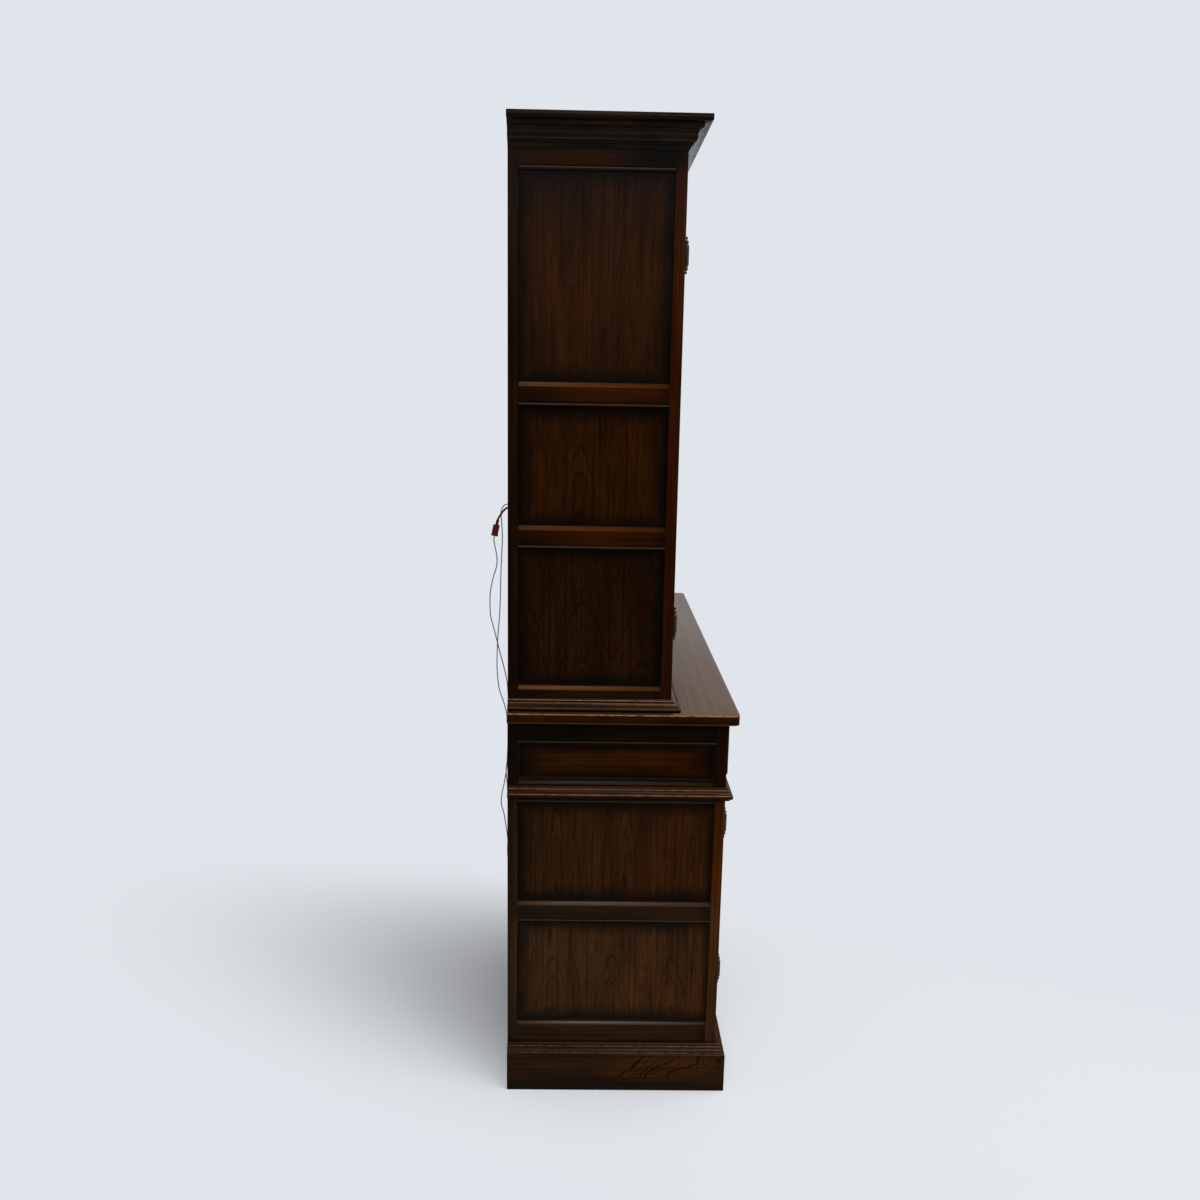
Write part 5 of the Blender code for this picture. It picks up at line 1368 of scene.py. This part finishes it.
def addConnector():
    parts = [roundedBlock(*lowVoltage[key], arris)
             for key, arris in (("housing", 0.0012), ("rim", 0.0008), ("latch", 0.0006))]
    housing = joinedPieces("connector", parts)
    boot = roundedBlock(*lowVoltage["boot"], 0.001)
    # The boot narrows to where the lead goes in
    middle = centreOf(*lowVoltage["boot"])[2]
    for vertex in boot.data.vertices:
        vertex.select = vertex.co.z > middle
    onlySelected(boot)
    bpy.ops.object.mode_set(mode="EDIT")
    bpy.ops.mesh.select_mode(type="VERT")
    tip = lowVoltage["bootTip"]
    bpy.ops.transform.resize(value=(tip, tip, 1), center_override=(0, 0, 0))
    closeMesh()
    placedPiece(housing, "connector", lowVoltage["seat"], lowVoltage["tilt"])
    placedPiece(boot, "connectorBoot", lowVoltage["seat"], lowVoltage["tilt"])
    given(housing, "carcass", redPlastic, "red_plastic", "red_connector")
    given(boot, "carcass", darkRedPlastic, "red_plastic", "red_connector")
    return housing, boot


connector, connectorBoot = addConnector()
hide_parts("red_connector")


# A rubber ring: its bore and foot, the edge of its flange, and its rounded crown
grommet = {
    "face": 0.245,
    "foot": ((0.0057, -0.0059), (0.0057, 0.0002)),
    "flange": (0.0003, 0.0007),
    "crown": ((0.0086, 0.0013), (0.0078, 0.0016), (0.0066, 0.0014), (0.0056, 0.0008),
              (0.0052, -0.0002), (0.0051, -0.0012)),
}


def addGrommet():
    low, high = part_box("upper_grommet")
    outer = (high[0] - low[0]) / 2
    flange = [(outer, rise) for rise in grommet["flange"]]
    piece = turnedPiece([*grommet["foot"], *flange, *grommet["crown"]], sides=32)
    middle = centreOf(low, high)
    placedPiece(piece, "grommet", (middle[0], grommet["face"], middle[2]), -math.pi / 2)
    given(piece, "carcass", blackRubber, "black_rubber", "upper_grommet")


# Profiles in shares of the lamp's half width, and of its height downwards
lamp = {
    "top": 0.7,              # its flat top
    "lip": 0.0002,
    "ring": ((1.0, 0.7), (0.985, 0.85), (0.94, 0.97), (0.9, 1.0), (0.82, 1.0), (0.77, 0.93),
             (0.75, 0.78)),
    "lens": ((0.74, 0.7), (0.74, 0.8), (0.55, 0.86), (0.3, 0.885), (0.0, 0.89)),
    "frost": ((0.72, 0.72, 0.7), (0.8, 0.8, 0.78)),
    "sides": 48,
}


@dressing
def frostedMaterial(shader, place):
    speck = place.noise(700)
    plug(speck.mixed(*lamp["frost"]), shader, "Base Color")
    plug(speck * 0.2 + 0.35, shader, "Roughness")


def addLamp():
    low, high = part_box("cabinet_light")
    wide, tall = (high[0] - low[0]) / 2, high[2] - low[2]
    middle = centreOf(low, high)
    spot = (middle[0], middle[1], high[2])
    ringLine, lensLine = ([(max(across * wide, tipRadius), -down * tall) for across, down in lamp[key]]
                          for key in ("ring", "lens"))
    ring = turnedPiece([(wide * lamp["top"], 0), (wide, -lamp["lip"])] + ringLine, lamp["sides"])
    placedPiece(ring, "lampRing", spot)
    given(ring, "carcass", whitePlastic, "white_plastic", "cabinet_light")
    lens = placedPiece(turnedPiece(lensLine, lamp["sides"]), "lampLens", spot, smoothAngle=60)
    given(lens, "carcass", frostedMaterial("frostedLens"), "white_plastic")


driver = {
    "seam": 0.72,            # how far up the lid meets the lower half
    "gap": 0.0004,
    "arris": 0.0022, "fineArris": 0.0005,
    "inset": 0.001,
    "core": 0.003,           # how far the core reaches above and below the seam
    "ribs": 7, "firstRib": 0.03, "pitch": 0.009, "ribWidth": 0.004,
    "ribDepth": (0.0002, 0.003),     # of a rib's front and back, in from the driver's front
    "margin": 0.008,         # from a rib's ends to the driver's foot and its seam
}


def addDriver():
    low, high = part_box("light_driver")
    seam = low[2] + driver["seam"] * (high[2] - low[2])
    gap, inset, core, margin = (driver[key] for key in ("gap", "inset", "core", "margin"))
    fine = driver["fineArris"]
    lower = roundedBlock(low, (high[0], high[1], seam - gap), driver["arris"])
    lid = roundedBlock((low[0], low[1], seam + gap), high, driver["arris"])
    inner = roundedBlock((low[0] + inset, low[1] + inset, seam - core),
                         (high[0] - inset, high[1] - inset, seam + core), fine)
    front, back = (low[1] + depth for depth in driver["ribDepth"])
    ribs = []
    for step in range(driver["ribs"]):
        left = low[0] + driver["firstRib"] + step * driver["pitch"]
        ribs.append(roundedBlock((left, front, low[2] + margin),
                                 (left + driver["ribWidth"], back, seam - margin), fine))
    piece = joinedPieces("driver", [lower, lid, inner] + ribs)
    settled(piece, "driver", smoothAngle=40)
    given(piece, "carcass", whitePlastic, "white_plastic", "light_driver")


addGrommet()
addLamp()
addDriver()
print("light and leads dressed")


# Floor, backdrop and light

studio = {
    "backdrop": (0.745, 0.783, 0.831),
    "fill": 0.42,                          # the world's light on the object
    "floorColour": (0.4, 0.42, 0.446),
    "floorSize": 40,
    "shadeCentre": (-0.5965, -0.6),        # the shadow is full here, and fades away round it
    "shadeReach": (0.725, 1.529),
    "shadeSlant": 1.54,
    "shadeFade": (0.26, 1.046),
    "aired": 0.98,                         # how far it fades
    "blend": (1.6, 2.8),                   # the lit floor turns into the plain backdrop here
    "suns": (
        # name, way to the light, half of its width in degrees, light on a face turned to it, colour
        ("above", (-0.12, -0.3, 1.0), 21, 1.15, (1.0, 0.99, 0.975)),
        ("front", (-0.35, -1.0, 0.75), 26, 0.42, (1.0, 0.985, 0.965)),
        ("side", (-1.0, 0.15, 1.05), 16, 0.32, (1.0, 0.99, 0.98)),
    ),
}


# 1 where the camera looks, be it by way of a gloss or through glass
def lookedAt(tree):
    path = tree.nodes.new("ShaderNodeLightPath")
    straight, glossy, through = (Wire(tree, path.outputs[f"Is {kind} Ray"])
                                 for kind in ("Camera", "Glossy", "Transmission"))
    return straight.most(glossy).most(through)


def setWorld():
    world = bpy.data.worlds.new("studio")
    bpy.context.scene.world = world
    world.use_nodes = True
    tree = world.node_tree
    backdrop = tree.nodes["Background"]
    plug((*studio["backdrop"], 1), backdrop, "Color")
    seen = lookedAt(tree)
    fill = seen.node("ShaderNodeBackground", {}, {"Color": (1, 1, 1, 1), "Strength": studio["fill"]})
    plain = Wire(tree, backdrop.outputs[0])
    mixed = seen.node("ShaderNodeMixShader", {}, {0: seen, 1: fill, 2: plain})
    plug(mixed, tree.nodes["World Output"], "Surface")


@dressing
def floorMaterial(shader, place):
    plug((*studio["floorColour"], 1), shader, "Base Color")
    plug(0.9, shader, "Roughness")
    plug(0.0, shader, "Specular IOR Level")
    plain = place.node("ShaderNodeEmission", {}, {"Color": (*studio["backdrop"], 1), "Strength": 1.0})
    x, y, _ = place.parts()
    far = (x * x + y * y) ** 0.5
    u = (x - studio["shadeCentre"][0]) / studio["shadeReach"][0]
    v = (y - studio["shadeCentre"][1]) / studio["shadeReach"][1]
    aside = (u * u + v * v - u * v * studio["shadeSlant"]) ** 0.5
    aired = aside.step(*studio["shadeFade"]) * studio["aired"]
    share = far.step(*studio["blend"]).most(aired) * lookedAt(place.tree)
    lit = Wire(place.tree, shader.outputs["BSDF"])
    mixed = place.node("ShaderNodeMixShader", {}, {0: share, 1: lit, 2: plain})
    plug(mixed, place.tree.nodes["Material Output"], "Surface")


def addFloor():
    nothingSelected()
    bpy.ops.mesh.primitive_plane_add(size=studio["floorSize"], location=(0, 0, 0))
    floor = bpy.context.object
    floor.name = "floor"
    floor.data.materials.append(floorMaterial("floor"))


def addSuns():
    for name, way, halfWidth, light, colour in studio["suns"]:
        bpy.ops.object.light_add(type="SUN", location=Vector(way) * 3)
        sun = bpy.context.object
        sun.name = name
        sun.data.angle = math.radians(2 * halfWidth)
        sun.data.energy = light * math.pi
        sun.data.color = colour
        sun.rotation_euler = Vector(way).to_track_quat("Z", "Y").to_euler()


setWorld()
addFloor()
addSuns()
bpy.context.scene.view_settings.view_transform = "Standard"
print("studio lit")
